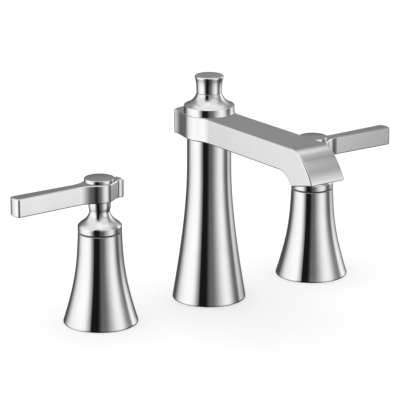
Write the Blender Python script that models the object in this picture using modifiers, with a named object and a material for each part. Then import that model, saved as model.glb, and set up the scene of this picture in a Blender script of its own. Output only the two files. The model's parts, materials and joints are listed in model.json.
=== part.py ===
"""Widespread bathroom faucet: a spout and two lever handles with their deck mountings, in metres.

+Z is up and the deck's top is at z = 0. The spout's axis is the Z axis, and its arm reaches
towards -Y, where the user stands. The hot handle is on the left, at -X, and the cold one at +X.
A handle is modelled with its lever along its own +X, and the left one is turned half round.
"""
import math

import bmesh
import bpy

# Layout
HANDLE_SPACING = 0.1016
DECK_THICKNESS = 0.025
FIT_GAP = 0.0003
CUT_OVERRUN = 0.002
MERGE_DISTANCE = 0.00001
FLAT_ANGLE = math.radians(0.001)

# Steps round a full turn
SHELL_STEPS = 28
TRIM_STEPS = 24
BODY_STEPS = 16
INNER_STEPS = 12
EDGE_SEGMENTS = 1
TUBE_RESOLUTION = 2
HEXAGON_SIDES = 6
INNER_WALL_SKIP = 3
ARC_STEP = math.radians(15)
SHARP_ANGLE = math.radians(30)

# Foot, the same under the spout and the handles
FOOT_RADIUS = 0.0284
FOOT_BAND = 0.0013
FOOT_EDGE = 0.0007
SHELL_WALL = 0.0022
GASKET_THICKNESS = 0.0015

# Spout column, with heights as shares of its height and swells as shares of its flare
COLUMN_TOP_RADIUS = 0.0170
COLUMN_TOP_EDGE = 0.0004
COLUMN_WEB_THICKNESS = 0.0042
COLUMN_FLARE_SHARES = (
    (0.78, 0.0), (0.70, 0.040), (0.62, 0.090), (0.54, 0.168), (0.46, 0.262), (0.385, 0.362),
    (0.31, 0.478), (0.23, 0.603), (0.155, 0.735), (0.078, 0.875),
)

# Spout arm, seen from above
ARM_TOP = 0.1482
ARM_DEPTH = 0.0190
ARM_COLLAR_RADIUS = 0.0196
ARM_ROOT_HALF_WIDTH = 0.0148
ARM_TIP_HALF_WIDTH = 0.0156
ARM_BLEND_RADIUS = 0.0220
ARM_TAIL_REACH = 0.0245
ARM_TAIL_NECK = 0.0159
ARM_TAIL_FLANK = 0.0110
ARM_TAIL_BLEND = 0.0380
ARM_TAIL_BULGE = 0.0037
ARM_EDGE = 0.0010

# Spout arm, seen from the side
ARM_BEND_START = 0.1186
ARM_BEND_RADIUS = 0.0236
ARM_BEND_TURN = math.radians(46.8)
ARM_DROP_RADIUS = 0.0570
ARM_DROP_TURN = math.radians(18.8)
ARM_INNER_START = 0.1060
ARM_INNER_RADIUS = 0.0173
ARM_INNER_TURN = math.radians(64)

# Waterway in the arm
SHANK_SOCKET_DEPTH = 0.0045
CHANNEL_RADIUS = 0.0034
CHANNEL_END = 0.1280
FEED_RADIUS = 0.0050
FEED_LENGTH = 0.0090
FEED_OFFSET = 0.0035

# Aerator, along its own axis from the outlet face into the arm
AERATOR_RADIUS = 0.0084
AERATOR_WALL = 0.0012
AERATOR_INSET = 0.0005
AERATOR_LIP = 0.0008
AERATOR_LIP_WIDTH = 0.0010
AERATOR_LENGTH = 0.0057
AERATOR_WASHER_THICKNESS = 0.0012
AERATOR_SHIFT = 0.0015
INSERT_THICKNESS = 0.0030
INSERT_HOLE_RADIUS = 0.0007
INSERT_HOLE_SIDES = 6
INSERT_PITCH = 0.0023
INSERT_RINGS = 2
HOLES_PER_RING = 6

# Spout shank, tube and deck mounting
SHANK_CLEARANCE = 0.0010
SHANK_WALL = 0.0027
SHANK_BELOW_DECK = 0.0620
SHANK_FLANGE_RADIUS = 0.0200
SHANK_FLANGE_THICKNESS = 0.0030
THREAD_CHAMFER = 0.0008
TUBE_ROD_CLEARANCE = 0.0023
TUBE_WALL = 0.0008
TUBE_END_OFFSET = 0.0180
TUBE_BEND_TOP = 0.0060
TUBE_BEND_HEIGHT = 0.0340
TUBE_BEND_SHARES = (0.15, 0.3, 0.45, 0.6, 0.75, 0.9)
TUBE_TAIL = 0.0100
NIPPLE_RADIUS = 0.0071
NIPPLE_LENGTH = 0.0180
NIPPLE_SOCKET = 0.0085
WASHER_OVERHANG = 0.0003
RUBBER_WASHER_THICKNESS = 0.0030
METAL_WASHER_THICKNESS = 0.0018
SPOUT_NUT_WALL = 0.0048
SPOUT_NUT_HEIGHT = 0.0116
THREAD_PLAY = 0.0004

# Finial and lift rod
FINIAL_FOOT_RADIUS = 0.0196
FINIAL_FOOT_HEIGHT = 0.0003
FINIAL_BAND_RADIUS = 0.0194
FINIAL_BAND_BOTTOM = 0.0011
FINIAL_BAND_TOP = 0.0055
FINIAL_NECK_RADIUS = 0.0095
FINIAL_HEIGHT = 0.0152
FINIAL_TOP_EDGE = 0.0003
FINIAL_BELL_SHARES = (
    (0.035, 0.96), (0.104, 0.77), (0.208, 0.595), (0.312, 0.452), (0.42, 0.336), (0.52, 0.24),
    (0.67, 0.143), (0.83, 0.07),
)
KNOB_GAP = 0.0004
KNOB_HEIGHT = 0.0135
KNOB_WAIST_RADIUS = 0.00975
KNOB_LIP_RADIUS = 0.01115
KNOB_FACE_RADIUS = 0.0103
KNOB_PROFILE_SHARES = (
    (0.963, 0.89), (0.911, 1.0), (0.807, 0.71), (0.696, 0.39), (0.511, 0.14), (0.29, 0.02),
    (0.04, 0.0),
)
ROD_RADIUS = 0.0024
ROD_BELOW_DECK = 0.1300
ROD_SOCKET = 0.0082
GUIDE_RADIUS = 0.0045
GUIDE_SEAT_DEPTH = 0.0015
GUIDE_TOP_INSET = 0.0017

# Escutcheon of a handle
ESCUTCHEON_HEIGHT = 0.0706
ESCUTCHEON_TOP_RADIUS = 0.0166
ESCUTCHEON_TOP_EDGE = 0.0004
ESCUTCHEON_LIP_WIDTH = 0.0032
ESCUTCHEON_LIP_THICKNESS = 0.0022
ESCUTCHEON_WEB_DROP = 0.0080
ESCUTCHEON_WEB_THICKNESS = 0.0060
ESCUTCHEON_FLARE_SHARES = (
    (0.85, 0.040), (0.71, 0.095), (0.57, 0.197), (0.46, 0.305), (0.354, 0.442), (0.248, 0.60),
    (0.142, 0.775), (0.065, 0.905),
)
GLIDE_SEAT_WALL = 0.0012
GLIDE_SEAT_DEPTH = 0.0016
GLIDE_SLEEVE = 0.0018
GLIDE_WALL = 0.0012
RUNNING_GAP = 0.0009

# Hub under the lever
HUB_OVERHANG = 0.00005
HUB_BAND_HEIGHT = 0.0045
HUB_BAND_EDGE = 0.0004
HUB_WAIST_RADIUS = 0.0076
HUB_WAIST_HEIGHT = 0.0159
HUB_NECK_RADIUS = 0.0084
HUB_NECK_SHARES = ((0.4, 1.0), (0.2, 0.6))
HUB_HEIGHT = 0.0240
HUB_HOLLOW_DEPTH = 0.0085
HUB_WALL = 0.0025
HUB_BELL_SHARES = (
    (0.05, 0.97), (0.13, 0.88), (0.22, 0.74), (0.35, 0.51), (0.48, 0.335), (0.61, 0.2),
    (0.79, 0.06),
)

# Lever and cap
LEVER_HEIGHT = 0.0142
LEVER_REACH = 0.0745
LEVER_TIP_BULGE = 0.0015
LEVER_ROOT_HALF_WIDTH = 0.0049
LEVER_TIP_HALF_WIDTH = 0.0061
LEVER_COLLAR_RADIUS = 0.0118
LEVER_COLLAR_SHIFT = 0.0012
LEVER_BLEND_RADIUS = 0.0210
LEVER_TAIL_REACH = 0.0186
LEVER_TAIL_NECK = 0.0046
LEVER_TAIL_FLANK = 0.0085
LEVER_TAIL_BLEND = 0.0060
LEVER_TAIL_BULGE = 0.0007
LEVER_EDGE = 0.0008
LEVER_FLOOR = 0.0045
LEVER_POCKET_RADIUS = 0.0080
CAP_RADIUS = 0.0115
CAP_HEIGHT = 0.0032
CAP_EDGE = 0.0006
CAP_SPIGOT_CLEARANCE = 0.0009
SCREW_HEAD_RADIUS = 0.0064
SCREW_HEAD_HEIGHT = 0.0034
SCREW_RADIUS = 0.0019
SCREW_LENGTH = 0.0126
SCREW_SOCKET_RADIUS = 0.0022
SCREW_SOCKET_DEPTH = 0.0016

# Valve body of a handle
BARREL_CLEARANCE = 0.0005
BARREL_CHAMFER = 0.0006
BARREL_DROP = 0.0166
BARREL_NECK_HEIGHT = 0.0080
BARREL_STEP_WIDTH = 0.0029
BODY_FLANGE_RADIUS = 0.0220
BODY_FLANGE_THICKNESS = 0.0040
BODY_LOWER_RADIUS = 0.0150
BODY_LOWER_LENGTH = 0.0240
INLET_RADIUS = 0.0103
INLET_LENGTH = 0.0180
INLET_BORE = 0.0055
CHANNEL_STEP = 0.0002
CARTRIDGE_DEPTH = 0.0370
BARREL_NECK_WALL = 0.0018
OUTLET_CHANNEL_RADIUS = 0.0026
OUTLET_RADIUS = 0.0085
OUTLET_REACH = 0.0300
OUTLET_BORE = 0.0040
LOCK_NUT_WALL = 0.0022
LOCK_NUT_CLEARANCE = 0.0009
LOCK_NUT_HEIGHT = 0.0080
DECK_WASHER_THICKNESS = 0.0016

# Cartridge
SEAL_WIDTH = 0.0014
SEAL_PLAY = 0.0012
SEAL_THICKNESS = 0.0022
CARTRIDGE_WALL = 0.0012
CARTRIDGE_FLANGE_THICKNESS = 0.0013
CARTRIDGE_NECK_RADIUS = 0.0066
CARTRIDGE_NECK_HEIGHT = 0.0074
DISC_THICKNESS = 0.0030
PORT_RADIUS = 0.0012
PORT_OFFSET = 0.0036
DISC_WAIST_RADIUS = 0.0024
DISC_WING_ANGLE = math.radians(100)
WINDOW_WIDTH = 0.0052
TANG_WIDTH = 0.0020
TANG_LENGTH = 0.0036
TANG_DEPTH = 0.0018
STEM_FLANGE_THICKNESS = 0.0028
STEM_RADIUS = 0.0041
STEM_RECESS = 0.0008
SCREW_END_CLEARANCE = 0.0005
O_RING_GROOVE_WIDTH = 0.0024
O_RING_THICKNESS = 0.0012
O_RING_PLAY = 0.0001
O_RING_SQUEEZE = 0.0002
BONNET_PLAY = 0.0004
BONNET_LIP_THICKNESS = 0.0027
BONNET_SKIRT = 0.0055

# Heights that follow from the sizes above
ARM_BOTTOM = ARM_TOP - ARM_DEPTH
COLUMN_HEIGHT = ARM_BOTTOM - FIT_GAP
WEB_BOTTOM = GASKET_THICKNESS + FIT_GAP
WEB_TOP = WEB_BOTTOM + COLUMN_WEB_THICKNESS
FINIAL_BOTTOM = ARM_TOP + FIT_GAP
FINIAL_TOP = FINIAL_BOTTOM + FINIAL_HEIGHT
KNOB_BOTTOM = FINIAL_TOP + KNOB_GAP
HUB_BOTTOM = ESCUTCHEON_HEIGHT + RUNNING_GAP
HUB_TOP = HUB_BOTTOM + HUB_HEIGHT
LEVER_BOTTOM = HUB_TOP + FIT_GAP
LEVER_TOP = LEVER_BOTTOM + LEVER_HEIGHT
LEVER_FLOOR_TOP = LEVER_BOTTOM + LEVER_FLOOR
STEM_TOP = LEVER_FLOOR_TOP - STEM_RECESS
DECK_UNDERSIDE = -DECK_THICKNESS
RUBBER_WASHER_BOTTOM = DECK_UNDERSIDE - RUBBER_WASHER_THICKNESS
BARREL_TOP = ESCUTCHEON_HEIGHT - BARREL_DROP
BARREL_STEP = BARREL_TOP - BARREL_NECK_HEIGHT
ESCUTCHEON_WEB_BOTTOM = BARREL_STEP - ESCUTCHEON_WEB_DROP
CARTRIDGE_FLOOR = BARREL_TOP - CARTRIDGE_DEPTH
FIXED_DISC_BOTTOM = CARTRIDGE_FLOOR + FIT_GAP + SEAL_THICKNESS + FIT_GAP
ROTATING_DISC_BOTTOM = FIXED_DISC_BOTTOM + DISC_THICKNESS + FIT_GAP
STEM_BOTTOM = ROTATING_DISC_BOTTOM + DISC_THICKNESS + FIT_GAP
CARTRIDGE_SHOULDER = STEM_BOTTOM + STEM_FLANGE_THICKNESS + FIT_GAP
CARTRIDGE_TOP = BARREL_TOP + FIT_GAP + CARTRIDGE_FLANGE_THICKNESS + CARTRIDGE_NECK_HEIGHT

# Radii that follow from the sizes above
SHANK_RADIUS = COLUMN_TOP_RADIUS - SHELL_WALL - SHANK_CLEARANCE
SHANK_BORE = SHANK_RADIUS - SHANK_WALL
TUBE_RADIUS = (SHANK_BORE - ROD_RADIUS - TUBE_ROD_CLEARANCE) / 2
TUBE_OFFSET = SHANK_BORE - FIT_GAP - TUBE_RADIUS
GLIDE_SEAT_RADIUS = ESCUTCHEON_TOP_RADIUS - GLIDE_SEAT_WALL
GLIDE_SLEEVE_RADIUS = ESCUTCHEON_TOP_RADIUS - SHELL_WALL - FIT_GAP
HUB_BAND_RADIUS = ESCUTCHEON_TOP_RADIUS + HUB_OVERHANG
BONNET_CORNER_RADIUS = ESCUTCHEON_TOP_RADIUS - SHELL_WALL
BARREL_RADIUS = BONNET_CORNER_RADIUS - BARREL_CLEARANCE
BONNET_THREAD_RADIUS = BARREL_RADIUS - BARREL_STEP_WIDTH
SPOUT_NUT_FLATS = 2 * (SHANK_RADIUS + THREAD_PLAY + SPOUT_NUT_WALL)
LOCK_NUT_FLATS = 2 * (BARREL_RADIUS + THREAD_PLAY + LOCK_NUT_WALL)
LOCK_NUT_CORNER = LOCK_NUT_FLATS / 2 / math.cos(math.pi / HEXAGON_SIDES)
WASHER_RADIUS = SPOUT_NUT_FLATS / 2 / math.cos(math.pi / HEXAGON_SIDES) + WASHER_OVERHANG
DECK_WASHER_RADIUS = LOCK_NUT_CORNER + WASHER_OVERHANG
ESCUTCHEON_LIP_BORE = LOCK_NUT_CORNER + LOCK_NUT_CLEARANCE
FOOT_RING_BORE = ESCUTCHEON_LIP_BORE + ESCUTCHEON_LIP_WIDTH
CARTRIDGE_BORE = BONNET_THREAD_RADIUS - BARREL_NECK_WALL
CARTRIDGE_CHAMBER_RADIUS = CARTRIDGE_BORE - FIT_GAP - CARTRIDGE_WALL
DISC_RADIUS = CARTRIDGE_CHAMBER_RADIUS - FIT_GAP
SEAL_RADIUS = CARTRIDGE_CHAMBER_RADIUS - SEAL_PLAY
SEAL_BORE = SEAL_RADIUS - SEAL_WIDTH
CHANNEL_BORE = SEAL_BORE - CHANNEL_STEP
BONNET_LIP_BORE = CARTRIDGE_NECK_RADIUS + BONNET_PLAY
O_RING_GROOVE_RADIUS = STEM_RADIUS + O_RING_SQUEEZE - O_RING_THICKNESS - O_RING_PLAY


def clear_scene():
    """Removes the objects that the file opened with."""
    for obj in list(bpy.data.objects):
        bpy.data.objects.remove(obj)


def new_collection(name):
    collection = bpy.data.collections.new(name)
    bpy.context.scene.collection.children.link(collection)
    return collection


def finish_colour(name, colour, metallic, roughness):
    """A Principled material with one colour."""
    material = bpy.data.materials.new(name)
    material.use_nodes = True
    shader = material.node_tree.nodes["Principled BSDF"]
    shader.inputs["Base Color"].default_value = (*colour, 1.0)
    shader.inputs["Metallic"].default_value = metallic
    shader.inputs["Roughness"].default_value = roughness
    material.diffuse_color = (*colour, 1.0)
    return material


def make_materials():
    return {
        "chrome": finish_colour("polished_chrome", (0.78, 0.78, 0.79), 1.0, 0.06),
        "brass": finish_colour("turned_brass", (0.72, 0.55, 0.28), 1.0, 0.30),
        "steel": finish_colour("stainless_steel", (0.62, 0.62, 0.63), 1.0, 0.28),
        "rubber": finish_colour("black_rubber", (0.02, 0.02, 0.02), 0.0, 0.80),
        "black_plastic": finish_colour("black_plastic", (0.03, 0.03, 0.03), 0.0, 0.45),
        "white_plastic": finish_colour("white_plastic", (0.80, 0.80, 0.78), 0.0, 0.45),
        "ceramic": finish_colour("ceramic", (0.88, 0.86, 0.82), 0.0, 0.20),
    }


class Workshop:
    """Where new pieces go: their collection, the cutters' collection and the materials."""

    def __init__(self):
        self.parts = new_collection("widespread_faucet")
        self.cutters = new_collection("faucet_cutters")
        self.materials = make_materials()

    def add(self, name, data, material, parent=None):
        """Puts a new piece into the object's collection."""
        obj = bpy.data.objects.new(name, data)
        self.parts.objects.link(obj)
        obj.parent = parent
        data.materials.append(self.materials[material])
        return obj

    def cutter(self, name, data, parent=None):
        """Puts a new cutter into the cutters' collection, out of the render."""
        obj = bpy.data.objects.new(name, data)
        self.cutters.objects.link(obj)
        obj.parent = parent
        obj.hide_render = True
        obj.display_type = "WIRE"
        return obj

    def axis(self, name, location=(0, 0, 0), turn=0.0):
        """An empty on an axis, which carries the pieces that stand or turn on it."""
        empty = bpy.data.objects.new(name, None)
        self.parts.objects.link(empty)
        empty.location = location
        empty.rotation_euler.z = turn
        return empty


def turned_mesh(name, profile, steps):
    """A turned solid. The (radius, height) points run down the outer side, and back up a bore."""
    mesh = bpy.data.meshes.new(name)
    points = [(radius, 0.0, height) for radius, height in profile]
    edges = [(index, index + 1) for index in range(len(points) - 1)]
    if profile[0][0] > 0:
        edges.append((len(points) - 1, 0))
    mesh.from_pydata(points, edges, [])
    holder = bpy.data.objects.new(name, mesh)
    sweep = holder.modifiers.new("Turn", "SCREW")
    sweep.axis = "Z"
    sweep.angle = math.tau
    sweep.steps = steps
    sweep.render_steps = steps
    sweep.use_merge_vertices = True
    sweep.merge_threshold = MERGE_DISTANCE
    return settled_mesh(holder)


def settled_mesh(holder):
    """The evaluated mesh of an object that is no longer needed, welded and shaded."""
    bpy.context.scene.collection.objects.link(holder)
    graph = bpy.context.evaluated_depsgraph_get()
    mesh = bpy.data.meshes.new_from_object(holder.evaluated_get(graph))
    mesh.name = holder.name
    bpy.data.objects.remove(holder)
    body = bmesh.new()
    body.from_mesh(mesh)
    bmesh.ops.remove_doubles(body, verts=body.verts, dist=MERGE_DISTANCE)
    bmesh.ops.dissolve_limit(body, angle_limit=FLAT_ANGLE, verts=body.verts, edges=body.edges)
    bmesh.ops.recalc_face_normals(body, faces=body.faces)
    body.to_mesh(mesh)
    body.free()
    mesh.shade_smooth()
    mesh.set_sharp_from_angle(angle=SHARP_ANGLE)
    return mesh


def flat_curve(name, outlines, thickness):
    """A flat 2D curve with thickness, centred on its own XY plane. Outlines inside others are holes."""
    curve = bpy.data.curves.new(name, "CURVE")
    curve.dimensions = "2D"
    curve.fill_mode = "BOTH"
    curve.extrude = thickness / 2
    for outline in outlines:
        spline = curve.splines.new("POLY")
        spline.points.add(len(outline) - 1)
        for point, (x, y) in zip(spline.points, outline):
            point.co = (x, y, 0.0, 1.0)
        spline.use_cyclic_u = True
    return curve


def flat_mesh(name, outlines, thickness):
    """The same flat shape as a closed mesh, for pieces that are cut or bevelled."""
    return settled_mesh(bpy.data.objects.new(name, flat_curve(name, outlines, thickness)))


def cylinder_mesh(name, radius, bottom, top, steps):
    """A cylinder on its own Z axis, from its bottom to its top height."""
    mesh = bpy.data.meshes.new(name)
    body = bmesh.new()
    bmesh.ops.create_cone(
        body, cap_ends=True, segments=steps, radius1=radius, radius2=radius, depth=top - bottom
    )
    bmesh.ops.translate(body, verts=body.verts, vec=(0, 0, (bottom + top) / 2))
    body.to_mesh(mesh)
    body.free()
    mesh.shade_smooth()
    mesh.set_sharp_from_angle(angle=SHARP_ANGLE)
    return mesh


def box_mesh(name, low, high):
    """A box between two corners."""
    mesh = bpy.data.meshes.new(name)
    body = bmesh.new()
    bmesh.ops.create_cube(body, size=1)
    size = [b - a for a, b in zip(low, high)]
    middle = [(a + b) / 2 for a, b in zip(low, high)]
    bmesh.ops.scale(body, verts=body.verts, vec=size)
    bmesh.ops.translate(body, verts=body.verts, vec=middle)
    body.to_mesh(mesh)
    body.free()
    return mesh


def combine(obj, tool, operation="DIFFERENCE"):
    """Cuts, joins or intersects a piece with a tool from the cutters' collection."""
    modifier = obj.modifiers.new(tool.name, "BOOLEAN")
    modifier.operation = operation
    modifier.solver = "EXACT"
    modifier.object = tool


def round_edges(obj, width):
    """A small bevel on the sharp edges, before any bore is cut."""
    modifier = obj.modifiers.new("Edges", "BEVEL")
    modifier.width = width
    modifier.segments = EDGE_SEGMENTS
    modifier.limit_method = "ANGLE"
    modifier.angle_limit = SHARP_ANGLE


def arc(centre_x, centre_y, radius, start, end):
    """Points along an arc, both ends included."""
    count = max(2, math.ceil(abs(end - start) / ARC_STEP) + 1)
    points = []
    for index in range(count):
        angle = start + (end - start) * index / (count - 1)
        points.append((centre_x + radius * math.cos(angle), centre_y + radius * math.sin(angle)))
    return points


def circle(centre_x, centre_y, radius, steps):
    """The outline of a circle."""
    angles = [math.tau * index / steps for index in range(steps)]
    return [(centre_x + radius * math.cos(a), centre_y + radius * math.sin(a)) for a in angles]


def hexagon(flats):
    """The outline of a hexagon with its width across the flats."""
    return circle(0, 0, flats / 2 / math.cos(math.pi / HEXAGON_SIDES), HEXAGON_SIDES)


def bulged_end(reach, half_width, bulge):
    """Half of a slightly round bar end, from its middle to its corner at +Y."""
    radius = (half_width ** 2 + bulge ** 2) / (2 * bulge)
    sweep = math.asin(half_width / radius)
    return arc(reach + bulge - radius, 0, radius, 0, sweep)


def collared_outline(collar, tip_end, root, blend, tail):
    """A bar along +X from a round collar, with a short flared tail behind it, seen from above.

    The bar blends into the collar with one fillet on each side. The tail leaves the collar
    along straight flanks, and the fillet after them runs on past the tail's narrowest place
    and so flares its end.
    """
    tail_reach, neck, flank, tail_blend, tail_bulge = tail
    centre_x = math.sqrt((collar + blend) ** 2 - (root + blend) ** 2)
    lean = math.atan2(root + blend, centre_x)
    tail_x = math.sqrt((collar + tail_blend) ** 2 + flank ** 2 - (neck + tail_blend) ** 2)
    tail_lean = math.atan2(neck + tail_blend, tail_x) + math.atan2(flank, collar + tail_blend)
    flare = math.acos((tail_reach - tail_x) / tail_blend) - math.pi
    tail_half = neck + tail_blend + tail_blend * math.sin(flare)
    side = list(tip_end)
    side += arc(centre_x, root + blend, blend, -math.pi / 2, lean - math.pi)
    side += arc(0, 0, collar, lean, math.pi - tail_lean)[1:]
    fillet = arc(-tail_x, neck + tail_blend, tail_blend, -tail_lean, flare)
    side += fillet
    tail_end = bulged_end(tail_reach, tail_half, tail_bulge)
    side += [(-x, y) for x, y in reversed(tail_end)][1:]
    mirrored = [(x, -y) for x, y in reversed(side) if y > MERGE_DISTANCE]
    return side + mirrored


def flared_outline(shares, height, top_radius, foot_radius):
    """Points down a flared wall, from shares of its height and of its swell."""
    swell = foot_radius - top_radius
    return [(top_radius + swell * share, height * level) for level, share in shares]


def wall_radius(outline, height):
    """The radius of an outline at a height, read between its points."""
    for (upper_radius, upper), (lower_radius, lower) in zip(outline, outline[1:]):
        if lower <= height <= upper:
            return lower_radius + (upper_radius - lower_radius) * (height - lower) / (upper - lower)
    return outline[0][0]


def foot_points():
    """The outer edge of a foot, down to the flat ring that stands on the deck."""
    return [
        (FOOT_RADIUS, FOOT_BAND),
        (FOOT_RADIUS - FOOT_EDGE / 3, FOOT_EDGE / 2),
        (FOOT_RADIUS - FOOT_EDGE, 0),
        (FOOT_RING_BORE, 0),
    ]


def inner_wall(outline, bottom, top):
    """Points up the inside of a shell, a wall inside its outline."""
    inner = outline[::-INNER_WALL_SKIP]
    heights = [bottom, *[height for _, height in inner if bottom < height < top], top]
    return [(wall_radius(outline, height) - SHELL_WALL, height) for height in heights]


def make_ring(shop, name, bore, radius, bottom, top, material, parent=None, steps=BODY_STEPS):
    """A plain ring: a washer, seal or gasket."""
    profile = [(radius, top), (radius, bottom), (bore, bottom), (bore, top)]
    return shop.add(name, turned_mesh(name, profile, steps), material, parent)


def make_nut(shop, name, flats, bore, bottom, top, material, parent=None):
    """A hexagon nut, from one flat outline with a round hole."""
    outlines = [hexagon(flats), circle(0, 0, bore, BODY_STEPS)]
    nut = shop.add(name, flat_curve(name, outlines, top - bottom), material, parent)
    nut.location.z = (bottom + top) / 2
    return nut


def make_spout_column(shop):
    """The flared shell under the arm. The shank's flange presses its web onto the deck."""
    outline = [
        (COLUMN_TOP_RADIUS - COLUMN_TOP_EDGE, COLUMN_HEIGHT),
        (COLUMN_TOP_RADIUS, COLUMN_HEIGHT - COLUMN_TOP_EDGE),
    ]
    outline += flared_outline(COLUMN_FLARE_SHARES, COLUMN_HEIGHT, COLUMN_TOP_RADIUS, FOOT_RADIUS)
    outline.append((FOOT_RADIUS, FOOT_BAND))
    bore = SHANK_RADIUS + THREAD_PLAY
    profile = outline[:-1] + foot_points()
    profile += [(FOOT_RING_BORE, WEB_BOTTOM), (bore, WEB_BOTTOM), (bore, WEB_TOP)]
    profile += inner_wall(outline[1:], WEB_TOP, COLUMN_HEIGHT - COLUMN_TOP_EDGE)[:-1]
    profile.append((COLUMN_TOP_RADIUS - SHELL_WALL, COLUMN_HEIGHT))
    shop.add("spout_column", turned_mesh("spout_column", profile, SHELL_STEPS), "chrome")


def arm_side_outline():
    """The arm from the side as (reach, height) points, and the two corners of its outlet face."""
    turn = ARM_BEND_TURN + ARM_DROP_TURN
    inner_low = math.pi / 2 - ARM_INNER_TURN
    inner = arc(ARM_INNER_START, ARM_BOTTOM - ARM_INNER_RADIUS, ARM_INNER_RADIUS, math.pi / 2, inner_low)
    bend_end = math.pi / 2 - ARM_BEND_TURN
    bend = arc(ARM_BEND_START, ARM_TOP - ARM_BEND_RADIUS, ARM_BEND_RADIUS, math.pi / 2, bend_end)
    join_x, join_z = bend[-1]
    drop_x = join_x - ARM_DROP_RADIUS * math.cos(bend_end)
    drop_z = join_z - ARM_DROP_RADIUS * math.sin(bend_end)
    drop = arc(drop_x, drop_z, ARM_DROP_RADIUS, bend_end, math.pi / 2 - turn)
    back = -ARM_TAIL_REACH - ARM_TAIL_BULGE - CUT_OVERRUN
    outline = [(back, ARM_BOTTOM)] + inner + list(reversed(bend + drop[1:])) + [(back, ARM_TOP)]
    return outline, inner[-1], drop[-1]


def outlet_place():
    """The aerator's centre on the outlet face, as reach and height, and the face's tilt."""
    _, inner_corner, outer_corner = arm_side_outline()
    run = outer_corner[0] - inner_corner[0]
    rise = outer_corner[1] - inner_corner[1]
    tilt = math.atan2(rise, run)
    reach = (inner_corner[0] + outer_corner[0]) / 2 - AERATOR_SHIFT * math.cos(tilt)
    height = (inner_corner[1] + outer_corner[1]) / 2 - AERATOR_SHIFT * math.sin(tilt)
    return reach, height, tilt


def make_spout_arm(shop, outlet):
    """The arm: its outline from above, cut to its shape from the side, then bored."""
    end = ARM_BEND_START + ARM_DEPTH + ARM_BEND_RADIUS
    plan = collared_outline(
        ARM_COLLAR_RADIUS, [(end, ARM_TIP_HALF_WIDTH)], ARM_ROOT_HALF_WIDTH, ARM_BLEND_RADIUS,
        (ARM_TAIL_REACH, ARM_TAIL_NECK, ARM_TAIL_FLANK, ARM_TAIL_BLEND, ARM_TAIL_BULGE),
    )
    arm = shop.add("spout_arm", flat_mesh("spout_arm", [plan], ARM_TOP), "chrome")
    arm.location.z = ARM_TOP - ARM_DEPTH / 2
    arm.rotation_euler.z = -math.pi / 2
    width = 2 * (ARM_COLLAR_RADIUS + CUT_OVERRUN)
    side = shop.cutter("arm_side", flat_mesh("arm_side", [arm_side_outline()[0]], width))
    side.rotation_euler = (math.pi / 2, 0, -math.pi / 2)
    combine(arm, side, "INTERSECT")
    round_edges(arm, ARM_EDGE)
    for tool in arm_bores(shop, outlet):
        combine(arm, tool)


def arm_bores(shop, outlet):
    """Cutters for the shank's socket, the tube, the rod, the waterway and the aerator's seat."""
    middle = ARM_BOTTOM + ARM_DEPTH / 2
    socket_top = ARM_BOTTOM + SHANK_SOCKET_DEPTH
    tube_bottom = socket_top - CUT_OVERRUN
    guide_bottom = ARM_TOP - GUIDE_SEAT_DEPTH
    below = ARM_BOTTOM - CUT_OVERRUN
    above = ARM_TOP + CUT_OVERRUN
    chamber = AERATOR_INSET + AERATOR_LENGTH + AERATOR_WASHER_THICKNESS + 2 * FIT_GAP
    socket = cylinder_mesh("shank_socket", SHANK_RADIUS + FIT_GAP, below, socket_top, TRIM_STEPS)
    tube = cylinder_mesh("tube_socket", TUBE_RADIUS + FIT_GAP, tube_bottom, middle, INNER_STEPS)
    rod = cylinder_mesh("rod_bore", ROD_RADIUS + FIT_GAP, below, above, INNER_STEPS)
    guide = cylinder_mesh("guide_seat", GUIDE_RADIUS + FIT_GAP, guide_bottom, above, INNER_STEPS)
    channel = cylinder_mesh("channel", CHANNEL_RADIUS, -TUBE_RADIUS, CHANNEL_END, INNER_STEPS)
    seat = cylinder_mesh("aerator_seat", AERATOR_RADIUS + FIT_GAP, -CUT_OVERRUN, chamber, TRIM_STEPS)
    feed = cylinder_mesh("feed", FEED_RADIUS, chamber - CUT_OVERRUN, chamber + FEED_LENGTH, INNER_STEPS)
    tools = [shop.cutter("shank_socket", socket), shop.cutter("rod_bore", rod)]
    tools.append(shop.cutter("guide_seat", guide))
    tube_tool = shop.cutter("tube_socket", tube)
    tube_tool.location.x = TUBE_OFFSET
    channel_tool = shop.cutter("channel", channel)
    channel_tool.location = (TUBE_OFFSET, 0, middle)
    channel_tool.rotation_euler.x = math.pi / 2
    feed_tool = shop.cutter("feed", feed, outlet)
    feed_tool.location.x = FEED_OFFSET
    tools += [tube_tool, channel_tool, shop.cutter("aerator_seat", seat, outlet), feed_tool]
    return tools


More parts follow.
